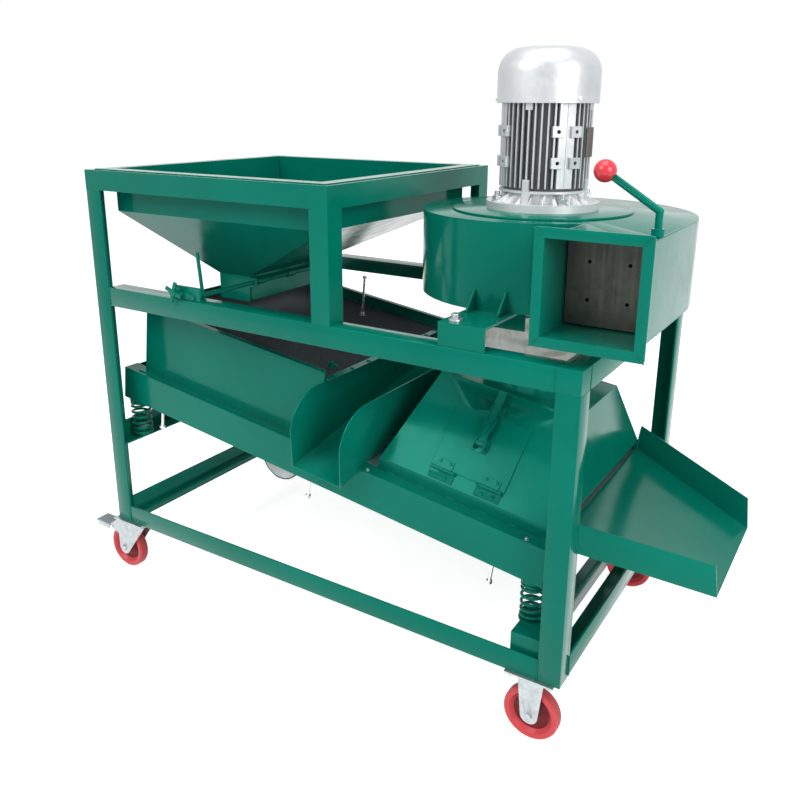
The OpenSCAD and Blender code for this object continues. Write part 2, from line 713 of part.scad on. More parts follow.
module nameplate() color("silver") place() on_motor() rotate([0, 0, 2])
  translate([mbody_d/2 + 0.2, -22, mbody_z + 70]) cube([1, 44, 62]);
module flange_bolts() color(zinc) place() on_motor()
  for (k = [0 : stud_n - 1]) rotate([0, 0, 45 + 90*k]) translate([stud_r, 0, 0]) {
    translate([0, 0, mflange_z]) cylinder(d = 12, h = mflange_t + 22);
    translate([0, 0, mflange_z + mflange_t]) cylinder(d = 24, h = 2.5);
    translate([0, 0, mflange_z + mflange_t + 2.5]) cylinder(d = 21, h = 10, $fn = 6);
  }

// Turning parts of the fan and motor
impeller_h = 110;
impeller_z = fan_z + 32;
module motor_shaft() color(zinc) place() on_motor()
  translate([0, 0, impeller_z + 40]) cylinder(d = shaft_d, h = cowl_z + 52 - impeller_z - 40);
module impeller() color(dark) place() on_motor() {
  difference() {
    union() {
      translate([0, 0, impeller_z + impeller_h]) cylinder(r = impeller_r, h = 4);
      translate([0, 0, impeller_z + 45]) cylinder(d = shaft_d + 34, h = impeller_h - 45);
      for (k = [0 : blades - 1]) rotate([0, 0, 360*k/blades])
        translate([inlet_r - 30, 0, impeller_z + 4]) rotate([0, 0, 28]) translate([0, -1.5, 0])
          cube([(impeller_r - inlet_r + 30)*0.98, 3, impeller_h - 4]);
      difference() {
        translate([0, 0, impeller_z]) cylinder(r = impeller_r, h = 4);
        translate([0, 0, impeller_z - 1]) cylinder(r = inlet_r - 6, h = 6);
      }
    }
    translate([0, 0, impeller_z - 1]) cylinder(d = shaft_d, h = impeller_h + 10);
    translate([0, 0, impeller_z - 1]) difference() {
      cylinder(r = impeller_r + 60, h = impeller_h + 10);
      translate([0, 0, -1]) cylinder(r = impeller_r, h = impeller_h + 12);
    }
  }
}
module cooling_fan() color(dark) place() on_motor() difference() {
  union() {
    translate([0, 0, cowl_z + 12]) cylinder(d = shaft_d + 22, h = 34);
    for (k = [0 : 6]) rotate([0, 0, 360*k/7])
      translate([shaft_d/2 + 6, -1.5, cowl_z + 12]) cube([58, 3, 34]);
  }
  translate([0, 0, cowl_z]) cylinder(d = shaft_d, h = 60);
}

// Outlet damper: plate and lever on one upright shaft
damper_clear = 3;
module damper_plate() color(raw) place() difference() {
  block([outlet_x0 + sheet_t + damper_clear, damper_shaft_y - damper_t/2, fan_z + sheet_t + damper_clear],
        [damper_x, damper_shaft_y + damper_t/2, top_z - damper_clear]);
  translate([damper_x, damper_shaft_y, fan_z]) cylinder(d = damper_d, h = fan_h);
  for (x = [0.28, 0.72]) for (z = [0.3, 0.7])
    translate([outlet_x0 + x*outlet_w, damper_shaft_y - 10, fan_z + z*fan_h]) rotate([-90, 0, 0])
      cylinder(d = 7, h = 20);
}
damper_low = fan_z + sheet_t + air;
elbow_z = top_z + sheet_t + 45;
lever_a = atan2(lever_reach, lever_rise);
lever_s = norm([lever_reach, lever_rise]);
lever_d = 14;
lever_boss_d = 24;
lever_boss_h = 14;
elbow_d = 15;
// Local frame of the lever's sloping arm, z along the arm
module on_arm() translate([damper_x, damper_shaft_y, elbow_z]) rotate([0, -lever_a, 0]) children();
module damper_lever() color(green) place() {
  translate([damper_x, damper_shaft_y, damper_low]) cylinder(d = damper_d, h = elbow_z - damper_low);
  boss_z = top_z + sheet_t + 0.5;
  translate([damper_x, damper_shaft_y, boss_z]) cylinder(d = lever_boss_d, h = lever_boss_h);
  translate([damper_x, damper_shaft_y, boss_z]) cylinder(d = lever_d, h = elbow_z - boss_z);
  translate([damper_x, damper_shaft_y, elbow_z]) sphere(d = elbow_d);
  on_arm() cylinder(d = lever_d, h = lever_s);
}
module damper_knob() color(red) place() on_arm() difference() {
  translate([0, 0, lever_s + knob_d/2 - 6]) sphere(d = knob_d);
  cylinder(d = lever_d, h = lever_s);
}

// Lower box: two outward channels, closed by end plates, notched where the chute leaves
wall_y = box_y + upper_in;
t = shake_t;
chute_x0 = upper_x0 + upper_l;
chute_x1 = chute_x0 + chute_w + 2*t;
function chute_floor(y) = chute_lip + (y + chute_out)*chute_rise;
// A flat outline given as [y, z] pairs, spread along the slope from x0 to x1
module profile_x(x0, x1, pts) translate([x0, 0, 0]) rotate([90, 0, 90])
  linear_extrude(x1 - x0) polygon(pts);
module lower_box() color(green) place() on_slope() difference() {
  union() {
    both_sides() {
      block([0, box_y, 0], [box_l, box_y + t, box_h]);
      block([0, box_y + t, 0], [box_l, box_y + flange_w, t]);
      block([0, box_y + t, box_h - t], [box_l, box_y + flange_w, box_h]);
    }
    for (x = [0, box_l - t])
      block([x, box_y + t, t], [x + t, frame_w - box_y - t, box_h - t]);
    // Cross bars under the deck
    for (x = [300, chute_x1 + 10, box_l - 40])
      block([x, box_y + flange_w, box_h - 24], [x + 4, frame_w - box_y - flange_w, box_h]);
  }
  profile_x(chute_x0, chute_x1, [[box_y - 1, chute_floor(box_y - 1) - t],
    [box_y + flange_w + 1, chute_floor(box_y + flange_w + 1) - t],
    [box_y + flange_w + 1, box_h + 1], [box_y - 1, box_h + 1]]);
}
module bottom_pan() color(green) place() on_slope()
  block([t, box_y + t, t], [box_l - t, frame_w - box_y - t, t + 2]);
// Deck under the sieve and the hood, slotted where air is drawn up
deck_t = 2;
deck_y = wall_y + t;
notch_y = (box_h + deck_t + t - chute_lip)/chute_rise - chute_out + 2;
module lower_deck() color(zinc) place() on_slope() translate([0, 0, box_h]) linear_extrude(deck_t)
  difference() {
    translate([upper_x0 + t, deck_y]) square([hood_x1 - upper_x0 - t, frame_w - 2*deck_y]);
    translate([chute_x0 - air, 0]) square([chute_x1 - chute_x0 + 2*air, notch_y]);
    for (i = [0 : 9]) for (j = [0 : 4])
      translate([hood_x0 + 26 + 40*i, deck_y + 34 + j*(frame_w - 2*deck_y - 68 - 60)/4]) square([8, 60]);
  }
ledge_w = 20;
lip_fold = 12;
module upper_box() color(green) place() on_slope() {
  x1 = upper_x0 + upper_l;
  both_sides() {
    block([upper_x0, wall_y, box_h], [x1, wall_y + t, upper_top]);
    block([upper_x0, wall_y - 25, box_h], [x1, wall_y, box_h + t]);
    block([upper_x0, wall_y - lip_fold, upper_top - t], [x1, wall_y, upper_top]);
    block([upper_x0 + t, wall_y + t, sieve_z - ledge_w], [x1, wall_y + t + 3, sieve_z]);
    block([upper_x0 + t, wall_y + t + 3, sieve_z - 3], [x1, wall_y + t + ledge_w, sieve_z]);
  }
  block([upper_x0, wall_y + t, box_h + deck_t], [upper_x0 + t, frame_w - wall_y - t, upper_top]);
}
// Square-meshed sieve, one flat net
sieve_t = 2;
sieve_over = 14;
sieve_x0 = upper_x0 + t + 1;
sieve_l = upper_l - t - 1 + sieve_over;
sieve_y0 = wall_y + t + 1;
sieve_w = frame_w - 2*sieve_y0;
sieve_edge = 24;
module sieve_screen() color(dark) place() on_slope() translate([sieve_x0, sieve_y0, sieve_z])
  linear_extrude(sieve_t) difference() {
    square([sieve_l, sieve_w]);
    px = (sieve_l - 2*sieve_edge + sieve_bar)/sieve_nx;
    py = (sieve_w - 2*sieve_edge + sieve_bar)/sieve_ny;
    for (i = [0 : sieve_nx - 1]) for (j = [0 : sieve_ny - 1])
      translate([sieve_edge + i*px, sieve_edge + j*py]) square([px - sieve_bar, py - sieve_bar]);
  }
module screw_head(x, y, z) translate([x, y, z]) cylinder(d = 10, h = 3);
module sieve_clamps() color(green) place() on_slope() {
  z = sieve_z + sieve_t;
  x1 = sieve_x0 + sieve_l;
  both_sides() {
    block([sieve_x0, sieve_y0, z], [x1 - 20, sieve_y0 + 18, z + 2]);
    for (k = [0 : 6]) screw_head(sieve_x0 + 40 + k*(sieve_l - 100)/6, sieve_y0 + 9, z + 2);
  }
  block([x1 - 18, sieve_y0, z], [x1, frame_w - sieve_y0, z + 2]);
  for (k = [0 : 7]) screw_head(x1 - 9, sieve_y0 + 30 + k*(sieve_w - 60)/7, z + 2);
  // Lug and wing nut that hold the sieve's end
  translate([x1 - 40, sieve_y0 + 60, z]) cylinder(d = 8, h = 22);
  translate([x1 - 40, sieve_y0 + 60, z + 12]) cube([30, 4, 9], center = true);
}
// Side chute: sloping cross trough with scooped side walls
chute_top = sieve_z - 3;
chute_round = 86;
module chute_wall(x) profile_x(x, x + t, concat(
  [[-chute_out, chute_lip - t]],
  [for (i = [0 : 8]) let (a = 180 - 90*i/8)
    [chute_round - chute_out - chute_bulge + chute_round*cos(a),
     chute_top - chute_round + chute_round*sin(a)]],
  [[frame_w - wall_y - t, chute_top], [frame_w - wall_y - t, chute_floor(frame_w - wall_y - t) - t]]));
module side_chute() color(green) place() on_slope() {
  chute_wall(chute_x0);
  chute_wall(chute_x1 - t);
  y1 = frame_w - wall_y;
  profile_x(chute_x0, chute_x1, [[-chute_out, chute_lip], [y1, chute_floor(y1)],
    [y1, chute_floor(y1) - t], [-chute_out, chute_lip - t]]);
  block([chute_x0, y1 - t, box_h], [chute_x1, y1, chute_top]);
}

// Suction hood: skirt, four sloping faces and a round collar under the fan
hood_z = box_h + skirt_h;
hood_in_y = hood_rise/tan(hood_face);
hood_in_x = hood_rise*tan(hood_lean);
module hood_solid(g) {
  e = 0.01;
  hull() {
    block([hood_x0 + g, wall_y + g, hood_z], [hood_x1 - g, frame_w - wall_y - g, hood_z + e]);
    translate([hood_x0 + hood_in_x + g, wall_y + hood_in_y + g, hood_z + hood_rise - g - e])
      cube([hood_x1 - hood_x0 - 2*hood_in_x - 2*g, frame_w - 2*wall_y - 2*hood_in_y - 2*g, e]);
  }
}
door_s0 = 32;
door_x = hood_x0 + 215;
door_frame = 14;
// Local frame of the hood's front face: y up the face, z outwards
module on_face() translate([door_x, wall_y, hood_z]) rotate([hood_face, 0, 0]) children();
module suction_hood() color(green) place() {
  difference() {
    on_slope() {
      block([hood_x0, wall_y, box_h], [hood_x1, frame_w - wall_y, hood_z]);
      hood_solid(0);
    }
    on_slope() {
      block([hood_x0 + t, wall_y + t, box_h - 1], [hood_x1 - t, frame_w - wall_y - t, hood_z + 0.02]);
      // The deck passes under the end walls
      block([hood_x0 - 1, deck_y, box_h - 1], [hood_x1 + 1, frame_w - deck_y, box_h + deck_t]);
      hood_solid(t);
      block([hood_x1 - t - 1, wall_y + 2*t, box_h],
            [hood_x1 + 1, frame_w - wall_y - 2*t, box_h + tray_gap]);
      block([hood_x0 - 1, wall_y + 2*t, box_h],
            [hood_x0 + t + 1, frame_w - wall_y - 2*t, box_h + tray_gap]);
      on_face() block([-door_w/2 + door_frame, door_s0 + door_frame, -30],
                      [door_w/2 - door_frame, door_s0 + door_l - door_frame, 30]);
    }
    translate([fan_x, fan_y, collar_low - collar_r]) cylinder(r = collar_r, h = 3*collar_r);
  }
  on_slope() on_face() {
    // Catch above the door
    block([-catch_w/2, catch_y0, 0], [catch_w/2, catch_y1, 4]);
    // Fixed leaves, outer knuckles and pins of the door's hinges
    for (s = [-1, 1]) translate([s*hinge_x, 0, 0]) {
      l = hinge_half + knuckle_l;
      block([-l, hinge_y - leaf_h, 0], [l, hinge_y - barrel_d/2, leaf_t]);
      along_x(-l, l) circle(d = pin_d);
      for (k = [-1, 1]) {
        a = k*(hinge_half + knuckle_gap);
        along_x(min(a, k*l), max(a, k*l)) circle(d = barrel_d);
        block([min(a, k*l), hinge_y - barrel_d/2, 0], [max(a, k*l), hinge_y + barrel_d/2, hinge_z]);
      }
    }
  }
}
tray_gap = 24;
// Round collar through the hood's roof, low enough to pass it all round
collar_low = slope_z(fan_x, hood_z + hood_rise) - collar_r*tan(slope) - 2*t;
module hood_collar() color(green) place() translate([fan_x, fan_y, collar_low]) difference() {
  cylinder(r = collar_r, h = collar_top - collar_low);
  translate([0, 0, -1]) cylinder(r = collar_r - sheet_t, h = collar_top - collar_low + 2);
}
// Door with two butt hinges, its hinge line along the slope
hinge_z = 7;
pin_d = 5;
barrel_d = 8;
door_t = 2.5;
hinge_x = door_w/2 - 34;
hinge_y = door_s0 - 4;
hinge_half = 20;
knuckle_l = 10;
knuckle_gap = 0.3;
leaf_h = 24;
leaf_t = 2.6;
door_top = door_gap + door_t;
// Something drawn around the hinge line and spread along it from a to b
module along_x(a, b) translate([a, hinge_y, hinge_z]) rotate([90, 0, 90]) linear_extrude(b - a) children();
module hood_door() color(green) place() on_slope() on_face() {
  block([-door_w/2, door_s0, door_gap], [door_w/2, door_s0 + door_l, door_top]);
  for (s = [-1, 1]) translate([s*hinge_x, 0, 0]) difference() {
    union() {
      along_x(-hinge_half, hinge_half) circle(d = barrel_d);
      block([-hinge_half, hinge_y, hinge_z - barrel_d/2],
            [hinge_half, hinge_y + leaf_h, hinge_z - barrel_d/2 + 2]);
    }
    along_x(-hinge_half - 1, hinge_half + 1) circle(d = pin_d + 2*run);
  }
  // Ears of the toggle latch
  for (s = [-1, 1]) difference() {
    block([s*13 - 1.5, latch_y - 12, door_top], [s*13 + 1.5, latch_y + 12, latch_z + 6]);
    translate([-latch_w, latch_y, latch_z]) rotate([0, 90, 0])
      cylinder(d = latch_pin + 2*run, h = 2*latch_w);
  }
}
// Toggle latch: its lever turns between the ears on the door and hooks over the catch
latch_y = door_s0 + 80;
latch_z = door_top + 12;
latch_w = 20;
latch_end = 242;
catch_w = 26;
catch_y0 = door_s0 + door_l + 4;
catch_y1 = catch_y0 + 22;
hook_y = catch_y1 + 2;
latch_pin = 5;
module latch_lever() color(green) place() on_slope() on_face() {
  r = latch_w/2;
  translate([-15, latch_y, latch_z]) rotate([0, 90, 0]) cylinder(d = latch_pin, h = 30);
  translate([-r, latch_y, latch_z]) rotate([0, 90, 0]) cylinder(d = 11, h = latch_w);
  block([-r, latch_y, latch_z - 2], [r, latch_end, latch_z + 1]);
  // Folded edges and the hook over the catch
  for (x = [-r, r - 2]) block([x, latch_y, latch_z + 1], [x + 2, hook_y, latch_z + 5]);
  block([-r, hook_y, door_gap + 1], [r, hook_y + 4, latch_z - 2]);
  translate([-r, latch_end, latch_z - 0.5]) rotate([0, 90, 0]) cylinder(d = 8, h = latch_w);
}

// Discharge tray narrowing towards its end
tray_x0 = box_l - 6 + 0.5;
tray_x1 = box_l + tray_l;
tray_side = 78;
// The walls' upper corners stand back from the tray's end
tray_cut = 18;
tray_outline = [[tray_x0, tray_side], [tray_x1, tray_y0], [tray_x1, tray_y1],
  [tray_x0, frame_w - tray_side]];
// Upright strip of sheet along one edge of the tray
module tray_edge(a, b) {
  n = [a[1] - b[1], b[0] - a[0]]/norm(b - a);
  polygon([a, b, b + t*n, a + t*n]);
}
module discharge_tray() color(green) place() on_slope() translate([0, 0, box_h]) difference() {
  tray_sheet();
  translate([0, frame_w, 0]) rotate([90, 0, 0]) linear_extrude(frame_w)
    polygon([[tray_x1 - tray_cut, tray_wall + t], [tray_x1, t], [tray_x1 + 1, t],
      [tray_x1 + 1, tray_wall + 2*t],
      [tray_x1 - tray_cut, tray_wall + 2*t]]);
}
module tray_sheet() {
  linear_extrude(t) polygon(tray_outline);
  linear_extrude(tray_wall + t) {
    tray_edge(tray_outline[0], tray_outline[1]);
    tray_edge(tray_outline[2], tray_outline[3]);
    translate([tray_x0, tray_side]) square([t, wall_y + t - tray_side]);
    translate([tray_x0, frame_w - wall_y - t]) square([t, wall_y + t - tray_side]);
  }
}
bolt_x = [130, 645, 1150];
module hanging_bolts() color(zinc) place() on_slope() both_sides() for (x = bolt_x)
  translate([x, box_y + 20, 0]) {
    translate([0, 0, -52]) cylinder(d = 8, h = 52);
    translate([0, 0, -58]) cylinder(d = 15, h = 6, $fn = 6);
    translate([0, 0, -7]) cylinder(d = 15, h = 7, $fn = 6);
  }

// Vibration motor under the pan: housing, end caps and seat
vib_x = 411;
vib_z = -108;
vib_r = 60;
cap_r = 68;
vib_half = 75;
cap_l = 50;
cap_t = 4;
vib_shaft_d = 20;
module along_y(x, z) translate([x, mid_y, z]) rotate([-90, 0, 0]) children();
module vibration_motor() color(green) place() on_slope() {
  difference() {
    union() {
      along_y(vib_x, vib_z) translate([0, 0, -vib_half]) cylinder(r = vib_r, h = 2*vib_half);
      for (s = [-1, 1]) along_y(vib_x, vib_z) translate([0, 0, s*(vib_half + cap_l/2) - cap_l/2])
        cylinder(r = cap_r, h = cap_l);
      block([vib_x - 62, mid_y - 55, vib_z], [vib_x + 62, mid_y + 55, -9]);
      block([vib_x - 95, mid_y - 70, -9], [vib_x + 95, mid_y + 70, t]);
      for (k = [-3 : 3]) along_y(vib_x, vib_z) translate([0, 0, 20*k - 2]) cylinder(r = vib_r + 5, h = 4);
    }
    for (s = [-1, 1]) along_y(vib_x, vib_z) translate([0, 0, s*(vib_half + cap_l/2) - cap_l/2 + cap_t])
      cylinder(r = cap_r - cap_t, h = cap_l - 2*cap_t);
    along_y(vib_x, vib_z) translate([0, 0, -vib_half - 20])
      cylinder(d = vib_shaft_d + 2*run, h = 2*vib_half + 40);
  }
}
module rotor_weights() color(dark) place() on_slope() {
  l = 2*(vib_half + cap_l) - 20;
  along_y(vib_x, vib_z) translate([0, 0, -l/2]) cylinder(d = vib_shaft_d, h = l);
  for (s = [-1, 1]) along_y(vib_x, vib_z) translate([0, 0, s*(vib_half + cap_l/2) - 12]) intersection() {
    cylinder(r = cap_r - 12, h = 24);
    translate([-cap_r, -6, -1]) cube([2*cap_r, cap_r + 6, 30]);
  }
}

// Canvas sleeve between the hood's collar and the fan's inlet ring, with its main folds
sleeve_z0 = collar_top - 22;
sleeve_z1 = fan_z - 3;
sleeve_t = 2;
sleeve_n = 24;
fold = 7;
function sleeve_r(u) = let (a = collar_r + 0.4, b = inlet_r + sheet_t + 0.4)
  a + (b - a)*min(1, max(0, (u - 0.16)/0.64))
    + (u > 0.16 && u < 0.8 ? fold*pow(sin(450*(u - 0.16)/0.64), 2) : 0);
module canvas_sleeve() color(canvas) place() translate([fan_x, fan_y, 0]) rotate_extrude()
  polygon(concat(
    [for (i = [0 : sleeve_n]) [sleeve_r(i/sleeve_n), sleeve_z0 + (sleeve_z1 - sleeve_z0)*i/sleeve_n]],
    [for (i = [sleeve_n : -1 : 0])
      [sleeve_r(i/sleeve_n) + sleeve_t, sleeve_z0 + (sleeve_z1 - sleeve_z0)*i/sleeve_n]]));

// Casters
axle_z = wheel_d/2;
leg_in = wheel_w/2 + 1.5;
fork_t = 3;
// Radius of a fork's rounded end, and the reach of its top from the caster's axis
fork_r = 20;
fork_top = 30;
swivel_top = 46;
race_z = caster_h - plate_t;
race_h = 8;
front_y = caster_in_y;
back_y = frame_w - caster_in_y;
left_x = caster_in_left;
right_x = frame_l - caster_in_right;
plate_in = 12;
plate_hole = 9;
module caster_plates() color(zinc) place() for (y = [front_y, back_y]) for (x = [left_x, right_x]) {
  difference() {
    block([x - plate_l/2, y - plate_w/2, race_z], [x + plate_l/2, y + plate_w/2, caster_h]);
    for (i = [-1, 1]) for (j = [-1, 1])
      translate([x + i*(plate_l/2 - plate_in), y + j*(plate_w/2 - plate_in), race_z - 1])
        cylinder(d = plate_hole, h = plate_t + 2);
  }
  if (x == left_x) translate([x, y, race_z - race_h]) cylinder(d = 62, h = race_h);
}
// Both side plates of a fork in the XZ plane, their top edge from x0 to x1 of the wheel's centre
module fork_side(x0, x1, top) {
  for (s = [-1, 1])
    translate([0, s*(leg_in + fork_t/2) + fork_t/2, axle_z]) rotate([90, 0, 0])
      linear_extrude(fork_t) difference() {
        hull() {
          circle(r = fork_r, $fn = 24);
          translate([x0, top - axle_z - 2]) square([x1 - x0, 2]);
        }
        circle(d = axle_d);
      }
}
module fork_axle() {
  w = leg_in + fork_t;
  translate([0, w + 6, axle_z]) rotate([90, 0, 0]) cylinder(d = axle_d, h = 2*w + 12);
  for (s = [-1, 1]) translate([0, s*(w + 3) + 3, axle_z]) rotate([90, 0, 0])
    cylinder(d = 17, h = 6, $fn = 6);
}
pedal_x = -46;
pedal_neck = 12;
pedal_half = 22;
pedal_z = axle_z + 57;
module swivel_fork(y) color(zinc) place() {
  translate([left_x, y, race_z - race_h - race_gap - 14]) cylinder(d = 60, h = 14);
  translate([left_x - trail, y, 0]) {
    fork_side(-fork_r - 2, trail + swivel_top, race_z - race_h - race_gap - 2);
    fork_axle();
    // Ears that carry the brake pedal
    for (s = [-1, 1]) translate([0, s*(leg_in + fork_t/2) + fork_t/2, 0]) rotate([90, 0, 0])
      linear_extrude(fork_t) difference() {
        hull() {
          translate([pedal_x, pedal_z]) circle(r = 8, $fn = 24);
          translate([-fork_r, race_z - race_h - race_gap - 16]) square([8, 14]);
          translate([-fork_r, axle_z + 40]) square([8, 2]);
        }
        translate([pedal_x, pedal_z]) circle(d = 6 + 2*run);
      }
  }
}
module fork_front_left() swivel_fork(front_y);
module fork_back_left() swivel_fork(back_y);
module rigid_forks() color(zinc) place() for (y = [front_y, back_y]) translate([right_x, y, 0]) {
  block([-fork_top, -leg_in - fork_t, race_z - fork_t], [fork_top, leg_in + fork_t, race_z]);
  fork_side(-fork_top, fork_top, race_z);
  fork_axle();
}
module caster_wheel(x, y) color(red) place() translate([x, y, axle_z]) rotate([90, 0, 0]) rotate_extrude() {
  h = wheel_w/2;
  r = wheel_d/2;
  polygon([[axle_d/2 + run, -h], [17, -h], [19, -h + 8], [r - 13, -h + 8], [r - 10, -h + 2],
    [r - 3, -h + 2], [r, -h + 6], [r, h - 6], [r - 3, h - 2], [r - 10, h - 2], [r - 13, h - 8],
    [19, h - 8], [17, h], [axle_d/2 + run, h]]);
}
module wheel_front_left() caster_wheel(left_x - trail, front_y);
module wheel_back_left() caster_wheel(left_x - trail, back_y);
module wheel_front_right() caster_wheel(right_x, front_y);
module wheel_back_right() caster_wheel(right_x, back_y);
module brake_pedal(y) color(zinc) place() translate([left_x - trail, y, 0]) {
  w = leg_in - air;
  translate([pedal_x, leg_in + fork_t + 2, pedal_z]) rotate([90, 0, 0])
    cylinder(d = 6, h = 2*(leg_in + fork_t) + 4);
  block([pedal_x - pedal_neck, -w, pedal_z - 2], [pedal_x, w, pedal_z + 2]);
  // Wide foot plate with folded sides
  block([-pedal_reach, -pedal_half, pedal_z - 2], [pedal_x - pedal_neck, pedal_half, pedal_z + 2]);
  for (y = [-pedal_half, pedal_half - 2])
    block([-pedal_reach + 8, y, pedal_z - 12], [pedal_x - pedal_neck, y + 2, pedal_z - 2]);
}
module pedal_front_left() brake_pedal(front_y);
module pedal_back_left() brake_pedal(back_y);

corner_posts();
hopper_frame();
mid_rails();
lower_rails();
spring_rails();
spring_pedestals();
hopper();
gate_bracket();
fan_casing();
fan_floor();
fan_top_plate();
outlet_flange();
motor_plate();
fan_brackets();
motor_body();
motor_flange();
motor_cowl();
terminal_box();
nameplate();
flange_bolts();
caster_plates();
rigid_forks();
impeller();
motor_shaft();
cooling_fan();
damper_plate();
damper_lever();
damper_knob();
gate_flap();
gate_shaft();
gate_lock_knob();
lower_box();
bottom_pan();
lower_deck();
upper_box();
sieve_screen();
sieve_clamps();
side_chute();
suction_hood();
hood_collar();
discharge_tray();
hanging_bolts();
vibration_motor();
spring_caps();
rotor_weights();
hood_door();
latch_lever();
spring_front_left();
spring_front_right();
spring_back_left();
spring_back_right();
canvas_sleeve();
fork_front_left();
fork_back_left();
wheel_front_left();
wheel_back_left();
wheel_front_right();
wheel_back_right();
pedal_front_left();
pedal_back_left();
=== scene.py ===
"""Looks of a wheeled seed cleaner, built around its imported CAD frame.

Lengths of the sub-assemblies are millimetres in the maker's own layout: x from the hopper end
to the discharge end, y from the front rails to the back ones, z up from the floor. The
function place() turns such a point into the shared frame in metres, the unit of the finishes,
the lamps and the floor.
"""
import json
import logging
import math
from collections.abc import Iterable, Sequence
from dataclasses import dataclass, field
from enum import Enum

import bpy
from mathutils import Matrix, Vector

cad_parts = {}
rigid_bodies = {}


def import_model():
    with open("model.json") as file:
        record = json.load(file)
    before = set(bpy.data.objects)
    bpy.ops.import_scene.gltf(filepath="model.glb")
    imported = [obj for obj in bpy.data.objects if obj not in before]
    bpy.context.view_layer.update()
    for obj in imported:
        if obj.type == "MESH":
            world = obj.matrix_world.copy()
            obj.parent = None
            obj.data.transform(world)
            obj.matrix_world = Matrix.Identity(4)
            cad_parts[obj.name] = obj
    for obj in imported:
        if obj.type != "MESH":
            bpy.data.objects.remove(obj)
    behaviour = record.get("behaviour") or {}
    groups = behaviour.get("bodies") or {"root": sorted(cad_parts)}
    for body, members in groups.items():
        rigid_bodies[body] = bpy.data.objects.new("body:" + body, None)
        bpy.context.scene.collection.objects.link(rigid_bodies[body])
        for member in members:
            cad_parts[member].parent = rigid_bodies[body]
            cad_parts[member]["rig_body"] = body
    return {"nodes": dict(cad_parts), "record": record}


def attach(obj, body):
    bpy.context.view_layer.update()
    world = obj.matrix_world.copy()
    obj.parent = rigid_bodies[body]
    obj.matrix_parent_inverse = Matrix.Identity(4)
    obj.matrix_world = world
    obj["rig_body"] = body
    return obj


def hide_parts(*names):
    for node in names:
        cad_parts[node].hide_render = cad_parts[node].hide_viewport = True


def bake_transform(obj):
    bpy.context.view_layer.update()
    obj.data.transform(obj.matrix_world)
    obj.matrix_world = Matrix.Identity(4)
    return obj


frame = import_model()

log = logging.getLogger("seed_cleaner")

ORIGIN_X = 737.3557
ORIGIN_Y = 364.5
MILLIMETRE = 0.001
SLOPE = math.radians(7.9)
BOX_X = 8.0
BOX_Z = 523.0
DOOR_X = 1041.0
HOOD_Y = 88.0
HOOD_Z = 119.0
HOOD_FACE = math.radians(50.0)
MOTOR_X = 1091.0
MOTOR_Y = 374.0
FRONT_CASTERS_Y = 30.0
BACK_CASTERS_Y = 720.0
SWIVEL_WHEELS_X = -3.0
RIGID_CASTERS_X = 1273.0
UPWARDS = Vector((0.0, 0.0, 1.0))
BACKWARDS = Vector((0.0, 1.0, 0.0))
WHITE = (1.0, 1.0, 1.0, 1.0)
SMOOTH_METAL = 35.0
SMOOTH_WIRE = 60.0
SMOOTH_CLOTH = 70.0
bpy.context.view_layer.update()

Pair = tuple[float, float]
Triple = tuple[float, float, float]
Profile = tuple[Pair, ...]


def place(x: float, y: float, z: float) -> Vector:
    """Turns a point of the maker's layout into the shared frame.

    Args:
        x: Distance from the frame's left end in millimetres.
        y: Distance from the frame's front face in millimetres.
        z: Height over the floor in millimetres.

    Returns:
        The point in metres.
    """
    return Vector(((x - ORIGIN_X), (y - ORIGIN_Y), z)) * MILLIMETRE


def on_slope(along: float, y: float, up: float) -> Vector:
    """Turns a point of the sloping sieve box into the shared frame.

    Args:
        along: Distance down the slope from the box's left end in millimetres.
        y: Distance from the frame's front face in millimetres.
        up: Height square to the deck in millimetres.

    Returns:
        The point in metres.
    """
    x = BOX_X + along * math.cos(SLOPE) + up * math.sin(SLOPE)
    z = BOX_Z - along * math.sin(SLOPE) + up * math.cos(SLOPE)
    return place(x, y, z)


def slope_way(along: float, y: float, up: float) -> Vector:
    """Turns a direction of the sloping sieve box into the shared frame.

    Args:
        along: Part down the slope.
        y: Part towards the back.
        up: Part square to the deck.

    Returns:
        The direction.
    """
    return Vector((along * math.cos(SLOPE) + up * math.sin(SLOPE), y,
                   up * math.cos(SLOPE) - along * math.sin(SLOPE)))


def on_door(across: float, rise: float, out: float) -> Vector:
    """Turns a point of the hood's front face, where the door is, into the shared frame.

    Args:
        across: Distance from the door's middle down the slope in millimetres.
        rise: Distance up the face from its lower edge in millimetres.
        out: Distance out of the face in millimetres.

    Returns:
        The point in metres.
    """
    y = HOOD_Y + rise * math.cos(HOOD_FACE) - out * math.sin(HOOD_FACE)
    up = HOOD_Z + rise * math.sin(HOOD_FACE) + out * math.cos(HOOD_FACE)
    return on_slope(DOOR_X + across, y, up)


def out_of_door() -> Vector:
    """Gives the direction out of the hood's front face."""
    return slope_way(0.0, -math.sin(HOOD_FACE), math.cos(HOOD_FACE))


def slots_of_nodes() -> dict[str, str]:
    """Gives each CAD node's material slot by the node's name."""
    return {row["node"]: row["material_slot"] for row in frame["record"]["subparts"]}


@dataclass(frozen=True)
class Spot:
    """A point on a surface with the direction that leaves it."""

    at: Vector
    out: Vector


class Body(str, Enum):
    """The rigid bodies of the frame that pieces ride on."""

    FRAME = "frame"
    SHAKER = "shaker"
    DOOR = "door"
    LATCH = "latch"
    WHEEL_FL = "wheel_fl"
    WHEEL_BL = "wheel_bl"
    WHEEL_FR = "wheel_fr"
    WHEEL_BR = "wheel_br"
    PEDAL_FL = "pedal_fl"
    PEDAL_BL = "pedal_bl"


